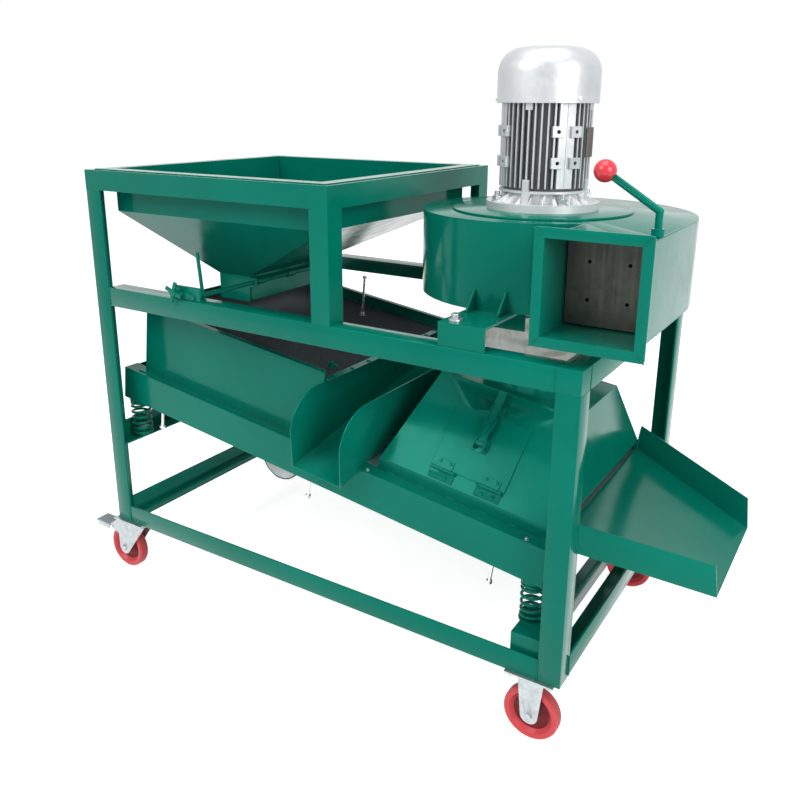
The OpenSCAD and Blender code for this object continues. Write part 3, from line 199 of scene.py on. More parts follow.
class NodeBench:
    """A small bench for wiring one material's nodes."""

    def __init__(self, name: str) -> None:
        """Opens an empty material with a Principled shader.

        Args:
            name: The material's name.
        """
        self.material = bpy.data.materials.new(name)
        self.material.use_nodes = True
        self.tree = self.material.node_tree
        self.shader = self.tree.nodes["Principled BSDF"]
        self.coords = self.tree.nodes.new("ShaderNodeTexCoord").outputs["Object"]

    def add(self, kind: str, **settings: object) -> bpy.types.Node:
        """Adds a node and sets its properties.

        Args:
            kind: Node type without its ShaderNode prefix.
            settings: Properties of the node by name.

        Returns:
            The new node.
        """
        node = self.tree.nodes.new("ShaderNode" + kind)
        for key, value in settings.items():
            setattr(node, key, value)
        return node

    def link(self, source: bpy.types.NodeSocket, target: bpy.types.NodeSocket) -> None:
        """Joins two sockets."""
        self.tree.links.new(source, target)

    def stretched(self, scale: Triple) -> bpy.types.NodeSocket:
        """Gives object coordinates stretched along the axes.

        Args:
            scale: Factor for each axis.

        Returns:
            The coordinates' socket.
        """
        mapping = self.add("Mapping")
        mapping.inputs["Scale"].default_value = scale
        self.link(self.coords, mapping.inputs["Vector"])
        return mapping.outputs["Vector"]

    def noise(self, scale: float, detail: float = 4.0, rough: float = 0.55,
              coords: bpy.types.NodeSocket | None = None) -> bpy.types.NodeSocket:
        """Adds a noise texture on object coordinates.

        Args:
            scale: Cells per metre.
            detail: Octaves.
            rough: Share of the finer octaves.
            coords: Other coordinates, where the pattern is stretched.

        Returns:
            The noise's value socket.
        """
        node = self.add("TexNoise")
        node.inputs["Scale"].default_value = scale
        node.inputs["Detail"].default_value = detail
        node.inputs["Roughness"].default_value = rough
        self.link(coords or self.coords, node.inputs["Vector"])
        return node.outputs["Fac"]

    def spread(self, value: bpy.types.NodeSocket, low: float, high: float, to_low: float,
               to_high: float) -> bpy.types.NodeSocket:
        """Maps a value's range to another one, clamped.

        Args:
            value: The socket to map.
            low: Value that gives to_low.
            high: Value that gives to_high.
            to_low: First output value.
            to_high: Second output value.

        Returns:
            The mapped value socket.
        """
        node = self.add("MapRange")
        limits = {"From Min": low, "From Max": high, "To Min": to_low, "To Max": to_high}
        for name, number in limits.items():
            node.inputs[name].default_value = number
        self.link(value, node.inputs["Value"])
        return node.outputs["Result"]

    def blend_colors(self, share: bpy.types.NodeSocket, first: Triple | bpy.types.NodeSocket,
                     second: Triple | bpy.types.NodeSocket) -> bpy.types.NodeSocket:
        """Mixes two colours by a share.

        Args:
            share: Socket from 0, the first colour, to 1, the second.
            first: First colour, or a socket with one.
            second: Second colour, or a socket with one.

        Returns:
            The mixed colour socket.
        """
        node = self.add("Mix", data_type="RGBA")
        self.link(share, node.inputs[0])
        for socket, color in ((node.inputs[6], first), (node.inputs[7], second)):
            if isinstance(color, bpy.types.NodeSocket):
                self.link(color, socket)
            else:
                socket.default_value = (*color, 1.0)
        return node.outputs[2]

    def bump(self, height: bpy.types.NodeSocket, strength: float, depth: float,
             under: bpy.types.NodeSocket | None = None) -> bpy.types.NodeSocket:
        """Turns a height into a bent normal.

        Args:
            height: Height socket.
            strength: Share of the effect, 0 to 1.
            depth: Full height in metres.
            under: Normal that this one is added to.

        Returns:
            The normal socket.
        """
        node = self.add("Bump")
        node.inputs["Strength"].default_value = strength
        node.inputs["Distance"].default_value = depth
        self.link(height, node.inputs["Height"])
        if under is not None:
            self.link(under, node.inputs["Normal"])
        return node.outputs["Normal"]

    def soft_edges(self, radius: float) -> bpy.types.NodeSocket:
        """Rounds the light on sharp edges.

        Args:
            radius: Radius of the rounding in metres.

        Returns:
            The normal socket.
        """
        node = self.add("Bevel", samples=6)
        node.inputs["Radius"].default_value = radius
        return node.outputs["Normal"]

    def finish(self, color: bpy.types.NodeSocket, rough: bpy.types.NodeSocket,
               normal: bpy.types.NodeSocket, metallic: float = 0.0) -> bpy.types.Material:
        """Wires the shader and returns the material.

        Args:
            color: Base colour socket.
            rough: Roughness socket.
            normal: Normal socket.
            metallic: Metallic share.

        Returns:
            The finished material.
        """
        self.link(color, self.shader.inputs["Base Color"])
        self.link(rough, self.shader.inputs["Roughness"])
        self.link(normal, self.shader.inputs["Normal"])
        self.shader.inputs["Metallic"].default_value = metallic
        return self.material


@dataclass(frozen=True)
class EnamelFinish:
    """Glossy enamel sprayed on steel, with orange peel, thin dust and slightly uneven tone."""

    name: str
    tone: Triple
    deep: Triple
    dust: Triple = (0.03, 0.27, 0.20)
    dust_share: float = 0.09
    gloss: float = 0.10
    gloss_spread: float = 0.14
    peel: float = 0.00022
    waves: float = 0.0016
    edge: float = 0.0011
    specular: float = 0.30
    specular_tint: Triple = (0.16, 0.92, 0.74)

    def material(self) -> bpy.types.Material:
        """Builds the enamel.

        Returns:
            The material.
        """
        bench = NodeBench(self.name)
        patches = bench.spread(bench.noise(2.6, 3.0), 0.35, 0.68, 0.0, 1.0)
        color = bench.blend_colors(patches, self.tone, self.deep)
        dusting = bench.spread(bench.noise(9.0, 6.0, 0.7), 0.52, 0.85, 0.0, self.dust_share)
        color = bench.blend_colors(dusting, color, self.dust)
        shine = bench.noise(14.0, 5.0, 0.6)
        rough = bench.spread(shine, 0.35, 0.75, self.gloss, self.gloss + self.gloss_spread)
        normal = bench.bump(bench.noise(260.0, 2.0, 0.5), 0.35, self.peel, bench.soft_edges(self.edge))
        normal = bench.bump(bench.noise(7.0, 2.0, 0.5), 0.2, self.waves, normal)
        bench.shader.inputs["Specular IOR Level"].default_value = self.specular
        bench.shader.inputs["Specular Tint"].default_value = (*self.specular_tint, 1.0)
        return bench.finish(color, rough, normal)


@dataclass(frozen=True)
class PlatedFinish:
    """Zinc-plated steel with a faint yellow cast and fine drawn marks."""

    name: str
    tone: Triple
    tint: Triple
    rough: float = 0.3
    rough_spread: float = 0.2
    marks: float = 0.00008
    edge: float = 0.0006
    metallic: float = 0.9

    def material(self) -> bpy.types.Material:
        """Builds the plated metal.

        Returns:
            The material.
        """
        bench = NodeBench(self.name)
        clouds = bench.spread(bench.noise(60.0, 5.0, 0.6), 0.35, 0.7, 0.0, 1.0)
        color = bench.blend_colors(clouds, self.tone, self.tint)
        rough = bench.spread(bench.noise(180.0, 4.0), 0.3, 0.75, self.rough, self.rough + self.rough_spread)
        marks = bench.noise(900.0, 2.0, 0.5, bench.stretched((1.0, 1.0, 0.08)))
        normal = bench.bump(marks, 0.3, self.marks, bench.soft_edges(self.edge))
        return bench.finish(color, rough, normal, self.metallic)


@dataclass(frozen=True)
class CastFinish:
    """Aluminium paint over a cast housing, grainy and a little cloudy, with painted shade darkening the
    roots between the motor's fins where that is switched on.
    """

    name: str
    tone: Triple
    shade: Triple
    grain: float = 0.00035
    metallic: float = 0.45
    edge: float = 0.0012
    # Painted shade between the motor's fins: its switch, its dark tone, and the radii where it is darkest
    # and where it fades out.
    shaded_grooves: bool = False
    groove_shade: Triple = (0.09, 0.095, 0.10)
    groove_root: float = 0.0875
    groove_rim: float = 0.0965

    def material(self) -> bpy.types.Material:
        """Builds the painted casting.

        Returns:
            The material.
        """
        bench = NodeBench(self.name)
        clouds = bench.spread(bench.noise(11.0, 5.0, 0.6), 0.35, 0.7, 0.0, 1.0)
        color = bench.blend_colors(clouds, self.tone, self.shade)
        specks = bench.spread(bench.noise(420.0, 3.0, 0.7), 0.62, 0.8, 0.0, 0.35)
        color = bench.blend_colors(specks, color, self.shade)
        # Painted shade: the gaps between the fins go dark at their roots and fade to the paint towards the
        # fin tips.
        if self.shaded_grooves:
            color = bench.blend_colors(self.nearness_to_rim(bench), self.groove_shade, color)
        rough = bench.spread(bench.noise(90.0, 4.0), 0.3, 0.75, 0.3, 0.5)
        normal = bench.bump(bench.noise(520.0, 4.0, 0.6), 0.5, self.grain, bench.soft_edges(self.edge))
        return bench.finish(color, rough, normal, self.metallic)

    def nearness_to_rim(self, bench: NodeBench) -> bpy.types.NodeSocket:
        """Measures how far out between the motor's fins a point is, by its distance from the axis, as the
        mask of the painted shade at the fin roots.

        Args:
            bench: The material's bench.

        Returns:
            Socket from 0, at the fins' roots, to 1, at their tips.
        """
        axis = place(MOTOR_X, MOTOR_Y, 0.0)
        arm = bench.add("VectorMath", operation="SUBTRACT")
        bench.link(bench.coords, arm.inputs[0])
        arm.inputs[1].default_value = axis
        flat = bench.add("VectorMath", operation="MULTIPLY")
        bench.link(arm.outputs["Vector"], flat.inputs[0])
        flat.inputs[1].default_value = (1.0, 1.0, 0.0)
        length = bench.add("VectorMath", operation="LENGTH")
        bench.link(flat.outputs["Vector"], length.inputs[0])
        return bench.spread(length.outputs["Value"], self.groove_root, self.groove_rim, 0.0, 1.0)


@dataclass(frozen=True)
class MouldedFinish:
    """Moulded plastic or polyurethane with a satin skin and scuffs."""

    name: str
    tone: Triple
    worn: Triple
    gloss: float = 0.28
    gloss_spread: float = 0.2
    grain: float = 0.00015
    edge: float = 0.0012

    def material(self) -> bpy.types.Material:
        """Builds the moulded skin.

        Returns:
            The material.
        """
        bench = NodeBench(self.name)
        scuffs = bench.spread(bench.noise(140.0, 6.0, 0.7), 0.58, 0.82, 0.0, 0.5)
        color = bench.blend_colors(scuffs, self.tone, self.worn)
        rough = bench.spread(bench.noise(70.0, 4.0), 0.35, 0.7, self.gloss, self.gloss + self.gloss_spread)
        normal = bench.bump(bench.noise(320.0, 3.0), 0.3, self.grain, bench.soft_edges(self.edge))
        return bench.finish(color, rough, normal)


@dataclass(frozen=True)
class RawSheetFinish:
    """Bare steel sheet, brownish grey with mill scale and rubbed streaks."""

    name: str
    tone: Triple
    scale: Triple
    grain: float = 0.0001
    edge: float = 0.0008
    metallic: float = 0.55

    def material(self) -> bpy.types.Material:
        """Builds the bare sheet.

        Returns:
            The material.
        """
        bench = NodeBench(self.name)
        clouds = bench.spread(bench.noise(24.0, 7.0, 0.65), 0.36, 0.68, 0.0, 1.0)
        color = bench.blend_colors(clouds, self.tone, self.scale)
        streaks = bench.noise(120.0, 3.0, 0.5, bench.stretched((1.0, 1.0, 0.05)))
        rough = bench.spread(streaks, 0.3, 0.75, 0.38, 0.62)
        normal = bench.bump(streaks, 0.2, self.grain, bench.soft_edges(self.edge))
        return bench.finish(color, rough, normal, self.metallic)


@dataclass(frozen=True)
class CanvasFinish:
    """Woven cotton duck: crossed threads, slubs and a soft grey cast in the folds."""

    name: str
    tone: Triple
    shade: Triple
    threads: float = 620.0
    threads_per_scale: float = 6.3
    weave: float = 0.0005
    slubs: float = 0.002
    sheen: float = 0.15

    def material(self) -> bpy.types.Material:
        """Builds the canvas.

        Returns:
            The material.
        """
        bench = NodeBench(self.name)
        clouds = bench.spread(bench.noise(30.0, 6.0, 0.65), 0.35, 0.7, 0.0, 1.0)
        color = bench.blend_colors(clouds, self.tone, self.shade)
        across = bench.add("TexWave", wave_type="BANDS", bands_direction="Z")
        along = bench.add("TexWave", wave_type="RINGS", rings_direction="Z")
        for wave in (across, along):
            wave.inputs["Scale"].default_value = self.threads / self.threads_per_scale
            wave.inputs["Distortion"].default_value = 1.2
            wave.inputs["Detail"].default_value = 2.0
            bench.link(bench.coords, wave.inputs["Vector"])
        weave = bench.add("Math", operation="ADD")
        bench.link(across.outputs["Fac"], weave.inputs[0])
        bench.link(bench.noise(900.0, 2.0), weave.inputs[1])
        normal = bench.bump(weave.outputs["Value"], 0.5, self.weave)
        normal = bench.bump(bench.noise(40.0, 4.0), 0.4, self.slubs, normal)
        rough = bench.spread(bench.noise(200.0), 0.3, 0.7, 0.85, 0.97)
        bench.shader.inputs["Sheen Weight"].default_value = self.sheen
        return bench.finish(color, rough, normal)


class Finish(Enum):
    """Every finish on the machine, by what it covers."""

    GREEN = EnamelFinish("green_enamel", (0.0008, 0.172, 0.120), (0.0006, 0.138, 0.097))
    ZINC = PlatedFinish("zinc_plate", (0.50, 0.54, 0.56), (0.38, 0.41, 0.42))
    CHROME = PlatedFinish("bright_bolts", (0.80, 0.81, 0.82), (0.68, 0.69, 0.70), rough=0.16)
    MOTOR = CastFinish("motor_paint", (0.60, 0.62, 0.63), (0.47, 0.49, 0.50))
    # The motor body's paint, with painted shade in the grooves between its fins.
    FINS = CastFinish("motor_fins", (0.60, 0.62, 0.63), (0.47, 0.49, 0.50), shaded_grooves=True)
    COWL = CastFinish("cowl_paint", (0.62, 0.64, 0.66), (0.52, 0.54, 0.56), grain=0.0002, metallic=0.6)
    WHEEL = MouldedFinish("wheel_red", (0.50, 0.006, 0.018), (0.36, 0.02, 0.03), gloss=0.42)
    WEB = MouldedFinish("wheel_web", (0.16, 0.003, 0.007), (0.10, 0.01, 0.012), gloss=0.6)
    TREAD = MouldedFinish("wheel_tread", (0.40, 0.05, 0.05), (0.24, 0.13, 0.11), gloss=0.5)
    KNOB = MouldedFinish("knob_red", (0.68, 0.010, 0.014), (0.55, 0.02, 0.02), gloss=0.12)
    SIEVE = PlatedFinish("sieve_wire", (0.13, 0.13, 0.135), (0.05, 0.054, 0.06), rough=0.38)
    DARK = MouldedFinish("dark_steel", (0.03, 0.033, 0.036), (0.06, 0.06, 0.06), gloss=0.4)
    RAW = RawSheetFinish("raw_sheet", (0.075, 0.08, 0.065), (0.045, 0.05, 0.042))
    CANVAS = CanvasFinish("sleeve_canvas", (0.78, 0.75, 0.74), (0.66, 0.63, 0.63))
    PLATE = RawSheetFinish("name_plate", (0.07, 0.055, 0.045), (0.10, 0.09, 0.08))

    def made(self) -> bpy.types.Material:
        """Gives the finish's material, built on first use."""
        return bpy.data.materials.get(self.value.name) or self.value.material()


SLOT_FINISH: dict[str, Finish] = {
    "green_paint": Finish.GREEN, "motor_paint": Finish.MOTOR, "zinc_steel": Finish.ZINC,
    "wheel_red": Finish.WHEEL, "knob_red": Finish.KNOB, "sieve_wire": Finish.SIEVE,
    "fan_steel": Finish.DARK, "sleeve_canvas": Finish.CANVAS, "raw_steel": Finish.RAW,
    "plate_metal": Finish.PLATE,
}


class Workshop:
    """Modelling moves that every sub-assembly shares."""

    @staticmethod
    def clear() -> None:
        """Leaves edit mode and deselects everything."""
        if bpy.context.mode != "OBJECT":
            bpy.ops.object.mode_set(mode="OBJECT")
        bpy.ops.object.select_all(action="DESELECT")

    @staticmethod
    def take(obj: bpy.types.Object) -> None:
        """Selects one object alone and makes it active.

        Args:
            obj: The object.
        """
        Workshop.clear()
        obj.select_set(True)
        bpy.context.view_layer.objects.active = obj

    @staticmethod
    def settle(obj: bpy.types.Object, name: str, finish: Finish,
               smooth: float | None = SMOOTH_METAL) -> bpy.types.Object:
        """Names a piece, puts its place into its mesh, smooths and paints it.

        Args:
            obj: The piece.
            name: Its name.
            finish: The finish it gets.
            smooth: Angle in degrees under which edges are smooth, or None for flat faces.

        Returns:
            The piece.
        """
        Workshop.take(obj)
        bpy.ops.object.transform_apply(location=True, rotation=True, scale=True)
        obj.name = obj.data.name = name
        if smooth is not None:
            bpy.ops.object.shade_smooth_by_angle(angle=math.radians(smooth))
        obj.data.materials.clear()
        obj.data.materials.append(finish.made())
        return obj

    @staticmethod
    def apply(obj: bpy.types.Object, kind: str, **settings: object) -> None:
        """Adds a modifier, sets it and applies it.

        Args:
            obj: The object.
            kind: Modifier type.
            settings: Properties of the modifier by name.
        """
        Workshop.take(obj)
        modifier = obj.modifiers.new(kind.lower(), kind)
        for key, value in settings.items():
            setattr(modifier, key, value)
        bpy.ops.object.modifier_apply(modifier=modifier.name)

    @staticmethod
    def join(objs: Sequence[bpy.types.Object]) -> bpy.types.Object:
        """Joins several objects into the first.

        Args:
            objs: The objects.

        Returns:
            The joined object.
        """
        Workshop.clear()
        for obj in objs:
            obj.select_set(True)
        bpy.context.view_layer.objects.active = objs[0]
        bpy.ops.object.join()
        return bpy.context.view_layer.objects.active

    @staticmethod
    def tube(path: Sequence[Vector], radius: float, sides: int = 3,
             swell: Sequence[float] | None = None) -> bpy.types.Object:
        """Makes a round wire along points, as a mesh.

        Args:
            path: Points in metres.
            radius: The wire's radius in metres.
            sides: Bevel resolution, 3 gives ten sides.
            swell: Share of the radius at each point, 1 everywhere if left out.

        Returns:
            The wire's mesh object.
        """
        Workshop.clear()
        bpy.ops.curve.primitive_nurbs_path_add()
        obj = bpy.context.object
        curve = obj.data
        curve.splines.clear()
        spline = curve.splines.new("POLY")
        spline.points.add(len(path) - 1)
        for point, spot, share in zip(spline.points, path, swell or [1.0] * len(path)):
            point.co = (*spot, 1.0)
            point.radius = share
        curve.bevel_depth = radius
        curve.bevel_resolution = sides
        curve.use_fill_caps = True
        Workshop.take(obj)
        bpy.ops.object.convert(target="MESH")
        return bpy.context.object

    @staticmethod
    def turned(profile: Sequence[Pair], steps: int) -> bpy.types.Object:
        """Turns a closed profile round the upright axis, as on a lathe.

        Args:
            profile: Radius and height of each corner in millimetres, in order round the section.
            steps: Faces round the axis.

        Returns:
            The turned mesh at the origin.
        """
        Workshop.clear()
        bpy.ops.mesh.primitive_circle_add(vertices=len(profile), radius=1.0, fill_type="NOTHING")
        obj = bpy.context.object
        for vertex, (radius, height) in zip(obj.data.vertices, profile):
            vertex.co = Vector((radius, 0.0, height)) * MILLIMETRE
        bpy.ops.object.mode_set(mode="EDIT")
        bpy.ops.mesh.select_all(action="SELECT")
        bpy.ops.mesh.spin(steps=steps, angle=2.0 * math.pi, center=(0.0, 0.0, 0.0), axis=(0.0, 0.0, 1.0))
        bpy.ops.mesh.select_all(action="SELECT")
        bpy.ops.mesh.remove_doubles(threshold=1e-6)
        bpy.ops.mesh.delete_loose()
        bpy.ops.mesh.select_all(action="SELECT")
        bpy.ops.mesh.normals_make_consistent(inside=False)
        bpy.ops.object.mode_set(mode="OBJECT")
        return obj

    @staticmethod
    def hex_bolt(radius: float, height: float, washer: float, thick: float = 1.7) -> bpy.types.Object:
        """Makes a hexagon head with a chamfered top on its washer, standing at the origin.

        Args:
            radius: Half the head's width over corners in millimetres.
            height: The head's height in millimetres.
            washer: The washer's radius in millimetres.
            thick: The washer's thickness in millimetres.

        Returns:
            The bolt's visible part.
        """
        bore = radius * 0.4
        ring = Workshop.turned([(bore, 0.0), (washer, 0.0), (washer, thick * 0.8),
                                (washer * 0.97, thick), (bore, thick)], 28)
        Workshop.clear()
        middle = (thick + height / 2) * MILLIMETRE
        bpy.ops.mesh.primitive_cylinder_add(vertices=6, radius=radius * MILLIMETRE,
                                            depth=height * MILLIMETRE, location=(0.0, 0.0, middle))
        head = bpy.context.object
        bpy.ops.object.mode_set(mode="EDIT")
        bpy.ops.mesh.select_all(action="DESELECT")
        bpy.ops.object.mode_set(mode="OBJECT")
        for face in head.data.polygons:
            face.select = face.normal.z > 0.9
        bpy.ops.object.mode_set(mode="EDIT")
        bpy.ops.mesh.inset(thickness=radius * 0.16 * MILLIMETRE, depth=radius * 0.12 * MILLIMETRE)
        bpy.ops.object.mode_set(mode="OBJECT")
        return Workshop.join([ring, head])

    @staticmethod
    def pan_head(radius: float, height: float) -> bpy.types.Object:
        """Turns the domed head of a small screw or rivet, standing at the origin."""
        return Workshop.turned([(0.0, 0.0), (radius, 0.0), (radius, height * 0.35),
                                (radius * 0.9, height * 0.7), (radius * 0.6, height * 0.94),
                                (0.0, height)], 20)

    @staticmethod
    def copied(model: bpy.types.Object, spots: Iterable[Spot]) -> bpy.types.Object:
        """Sets a copy of a model on every spot, its own mesh each, and joins them.

        Args:
            model: The model at the origin, pointing up; it is used up.
            spots: Where the copies stand and which way they point.

        Returns:
            The joined copies.
        """
        copies = []
        for spot in spots:
            twin = model.copy()
            twin.data = model.data.copy()
            bpy.context.scene.collection.objects.link(twin)
            twin.rotation_mode = "QUATERNION"
            twin.rotation_quaternion = spot.out.to_track_quat("Z", "Y")
            twin.location = spot.at
            copies.append(twin)
        bpy.data.objects.remove(model, do_unlink=True)
        return Workshop.join(copies)

    @staticmethod
    def mount(obj: bpy.types.Object, name: str, finish: Finish, slot: str, body: Body,
              smooth: float | None = SMOOTH_METAL) -> bpy.types.Object:
        """Settles a new piece and lets it ride on a body.

        Args:
            obj: The piece.
            name: Its name.
            finish: The finish it gets.
            slot: Its material slot; not used.
            body: The body it rides on.
            smooth: Angle in degrees under which edges are smooth, or None for flat faces.

        Returns:
            The piece.
        """
        Workshop.settle(obj, name, finish, smooth)
        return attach(obj, body.value)


@dataclass
class PaintShop:
    """Paints every carried-over CAD node with the finish of its slot."""

    special: dict[str, Finish] = field(default_factory=lambda: {
        "motor_cowl": Finish.COWL, "motor_body": Finish.FINS, "hanging_bolts": Finish.CHROME,
        "gate_lock_knob": Finish.GREEN})

    def dress(self) -> int:
        """Gives each node its material.

        Returns:
            How many nodes were painted.
        """
        slots = slots_of_nodes()
        for name, node in frame["nodes"].items():
            finish = self.special.get(name, SLOT_FINISH[slots[name]])
            node.data.materials.clear()
            node.data.materials.append(finish.made())
        return len(frame["nodes"])


@dataclass
class CoilSpring:
    """A round-wire compression spring with closed end coils, from its seat to its cap."""

    name: str
    x: float
    y: float
    seat: float
    height: float = 90.0
    outer: float = 58.0
    wire: float = 7.0
    active: float = 4.0
    dead: float = 1.0
    air: float = 0.6
    closeness: float = 1.06
    points_per_turn: int = 28

    def height_at(self, turn: float) -> float:
        """Gives the wire's centre height after a number of turns.

        Args:
            turn: Turns from the lower end.

        Returns:
            Height over the seat in millimetres.
        """
        low = self.air + self.wire / 2
        close = self.wire * self.closeness
        top = self.height - low
        rise = (top - low - 2 * self.dead * close) / self.active
        if turn <= self.dead:
            return low + close * turn
        if turn <= self.dead + self.active:
            return low + close * self.dead + rise * (turn - self.dead)
        return top - close * (2 * self.dead + self.active - turn)

    def build(self) -> bpy.types.Object:
        """Winds the spring and hangs it between frame and shaker.

        Returns:
            The spring.
        """
        turns = 2 * self.dead + self.active
        steps = int(turns * self.points_per_turn)
        radius = (self.outer - self.wire) / 2
        path = []
        for step in range(steps + 1):
            turn = turns * step / steps
            angle = 2 * math.pi * turn
            path.append(place(self.x + radius * math.cos(angle), self.y + radius * math.sin(angle),
                              self.seat + self.height_at(turn)))
        spring = Workshop.tube(path, self.wire / 2 * MILLIMETRE)
        Workshop.settle(spring, "coil_" + self.name, Finish.GREEN, SMOOTH_WIRE)
        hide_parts("spring_" + self.name)
        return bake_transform(spring)


@dataclass
class SieveCloth:
    """The woven wire screen in its folded edge strip."""

    start: float = 47.0
    length: float = 615.0
    front: float = 92.0
    width: float = 566.0
    level: float = 254.0
    pitch: float = 5.6
    wire: float = 1.7
    under: float = 0.55
    over: float = 1.45

    def wires(self, along: bool) -> bpy.types.Object:
        """Lays one layer of parallel wires.

        Args:
            along: True for wires that run down the slope.

        Returns:
            The layer as one mesh.
        """
        reach = self.length if along else self.width
        across = self.width if along else self.length
        count = int(across / self.pitch)
        lift = self.under if along else self.over
        Workshop.clear()
        bpy.ops.mesh.primitive_cylinder_add(vertices=6, radius=self.wire / 2 * MILLIMETRE,
                                            depth=reach * MILLIMETRE, end_fill_type="TRIFAN")
        wire = bpy.context.object
        side = -across / 2 + (across - (count - 1) * self.pitch) / 2
        if along:
            wire.rotation_euler = (0.0, math.pi / 2, 0.0)
            wire.location = Vector((0.0, side, lift)) * MILLIMETRE
        else:
            wire.rotation_euler = (math.pi / 2, 0.0, 0.0)
            wire.location = Vector((side, 0.0, lift)) * MILLIMETRE
        Workshop.take(wire)
        bpy.ops.object.transform_apply(location=True, rotation=True, scale=True)
        step = Vector((0.0, self.pitch, 0.0) if along else (self.pitch, 0.0, 0.0)) * MILLIMETRE
        Workshop.apply(wire, "ARRAY", use_relative_offset=False, use_constant_offset=True,
                       constant_offset_displace=step, count=count)
        return wire

    def build(self) -> bpy.types.Object:
        """Weaves the screen and lays it on its ledges.

        Returns:
            The screen.
        """
        cloth = Workshop.join([self.wires(True), self.wires(False)])
        cloth.rotation_euler = (0.0, SLOPE, 0.0)
        cloth.location = on_slope(self.start + self.length / 2, self.front + self.width / 2, self.level)
        Workshop.settle(cloth, "sieve_cloth", Finish.SIEVE, smooth=None)
        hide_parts("sieve_screen")
        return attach(cloth, Body.SHAKER.value)


@dataclass
class SleeveOfCanvas:
    """The loose canvas sleeve between the hood's collar and the fan's inlet ring."""

    x: float = MOTOR_X
    y: float = MOTOR_Y
    low: float = 753.0
    high: float = 897.0
    collar: float = 113.0
    ring: float = 127.0
    tied_low: float = 0.16
    tied_high: float = 0.2
    roll: float = 7.0
    rolls: float = 2.5
    ease: float = 1.03
    thick: float = 1.2
    held_low: float = 24.0
    held_high: float = 28.0
    facets: int = 12
    cuts: int = 60

    def radius_at(self, share: float, angle: float) -> float:
        """Gives the sleeve's radius at a height and an angle.

        Args:
            share: Height from 0 at the collar to 1 at the fan.
            angle: Angle round the sleeve in radians.

        Returns:
            Radius in millimetres.
        """
        free = (share - self.tied_low) / (1.0 - self.tied_low - self.tied_high)
        slack = min(1.0, share / self.tied_low) * min(1.0, (1.0 - share) / self.tied_high)
        base = self.collar + (self.ring - self.collar) * min(1.0, max(0.0, free))
        # Level rolls of slack cloth wander up and down round the sleeve, and fine gathers cross them
        drift = 0.9 * math.sin(2 * angle + 0.7) + 0.6 * math.sin(5 * angle + 2.0)
        rolls = 0.0
        if self.tied_low < share < 1.0 - self.tied_high:
            rolls = self.roll * math.sin(math.pi * self.rolls * free + drift) ** 2
        gathers = 1.3 * math.sin(31 * angle + 3.0 * share) + 0.8 * math.sin(53 * angle - 4.0 * share)
        return base + slack * (rolls + gathers * (0.6 + 0.4 * math.sin(3 * angle)))

    def build(self) -> bpy.types.Object:
        """Sews the sleeve, lets it fold and ties it between hood and fan.

        Returns:
            The sleeve.
        """
        Workshop.clear()
        height = self.high - self.low
        middle = place(self.x, self.y, (self.low + self.high) / 2)
        bpy.ops.mesh.primitive_cylinder_add(vertices=self.facets, radius=self.collar * MILLIMETRE,
                                            depth=height * MILLIMETRE, end_fill_type="NOTHING",
                                            location=middle)
        sleeve = bpy.context.object
        bpy.ops.object.transform_apply(location=True, rotation=True, scale=True)
        bpy.ops.object.mode_set(mode="EDIT")
        bpy.ops.mesh.select_all(action="SELECT")
        bpy.ops.mesh.subdivide(number_cuts=self.cuts)
        bpy.ops.object.mode_set(mode="OBJECT")
        axis = place(self.x, self.y, 0.0)
        for vertex in sleeve.data.vertices:
            share = (vertex.co.z / MILLIMETRE - self.low) / height
            arm = Vector((vertex.co.x - axis.x, vertex.co.y - axis.y))
            angle = math.atan2(arm.y, arm.x)
            arm = arm.normalized() * self.radius_at(share, angle) * MILLIMETRE
            vertex.co.x, vertex.co.y = axis.x + arm.x, axis.y + arm.y
        Workshop.apply(sleeve, "SOLIDIFY", thickness=self.thick * MILLIMETRE, offset=1.0)
        Workshop.settle(sleeve, "canvas_sleeve_cloth", Finish.CANVAS, SMOOTH_CLOTH)
        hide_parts("canvas_sleeve")
        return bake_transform(sleeve)


@dataclass
class CasterWheel:
    """A polyurethane wheel: worn tread, bright tyre, sunk web and dark hub."""

    corner: str
    body: Body
    x: float
    y: float
    z: float = 62.5
    steps: int = 72
    tyre: Profile = ((41.5, 4.0), (46.0, 7.0), (48.5, 12.5), (51.0, 14.0), (58.5, 14.0),
                     (61.2, 12.0), (62.2, 8.5))
    tread: Profile = ((61.0, 9.4), (62.5, 8.6))
    web: Profile = ((18.0, 9.0), (20.5, 7.0), (24.0, 4.6), (41.8, 3.6))
    hub: Profile = ((6.2, 15.6), (16.6, 15.6), (18.2, 14.2), (18.6, 6.0))

    def ring(self, half: Profile, name: str, finish: Finish) -> bpy.types.Object:
        """Turns one ring of the wheel about its axle.

        Args:
            half: Radius and half width of the section's corners, inside to outside.
            name: What the ring is.
            finish: Its finish.

        Returns:
            The ring.
        """
        section = [(radius, -width) for radius, width in half] + list(reversed(half))
        spot = Spot(place(self.x, self.y, self.z), BACKWARDS)
        ring = Workshop.copied(Workshop.turned(section, self.steps), [spot])
        return Workshop.mount(ring, f"{name}_{self.corner}", finish, "wheel_red", self.body)

    def build(self) -> list[bpy.types.Object]:
        """Turns the wheel's four rings.

        Returns:
            The rings, the tyre first.
        """
        tyre = self.ring(self.tyre, "tyre", Finish.WHEEL)
        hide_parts("wheel_" + self.corner)
        return [tyre, self.ring(self.tread, "tread", Finish.TREAD),
                self.ring(self.web, "web", Finish.WEB), self.ring(self.hub, "hub", Finish.DARK)]


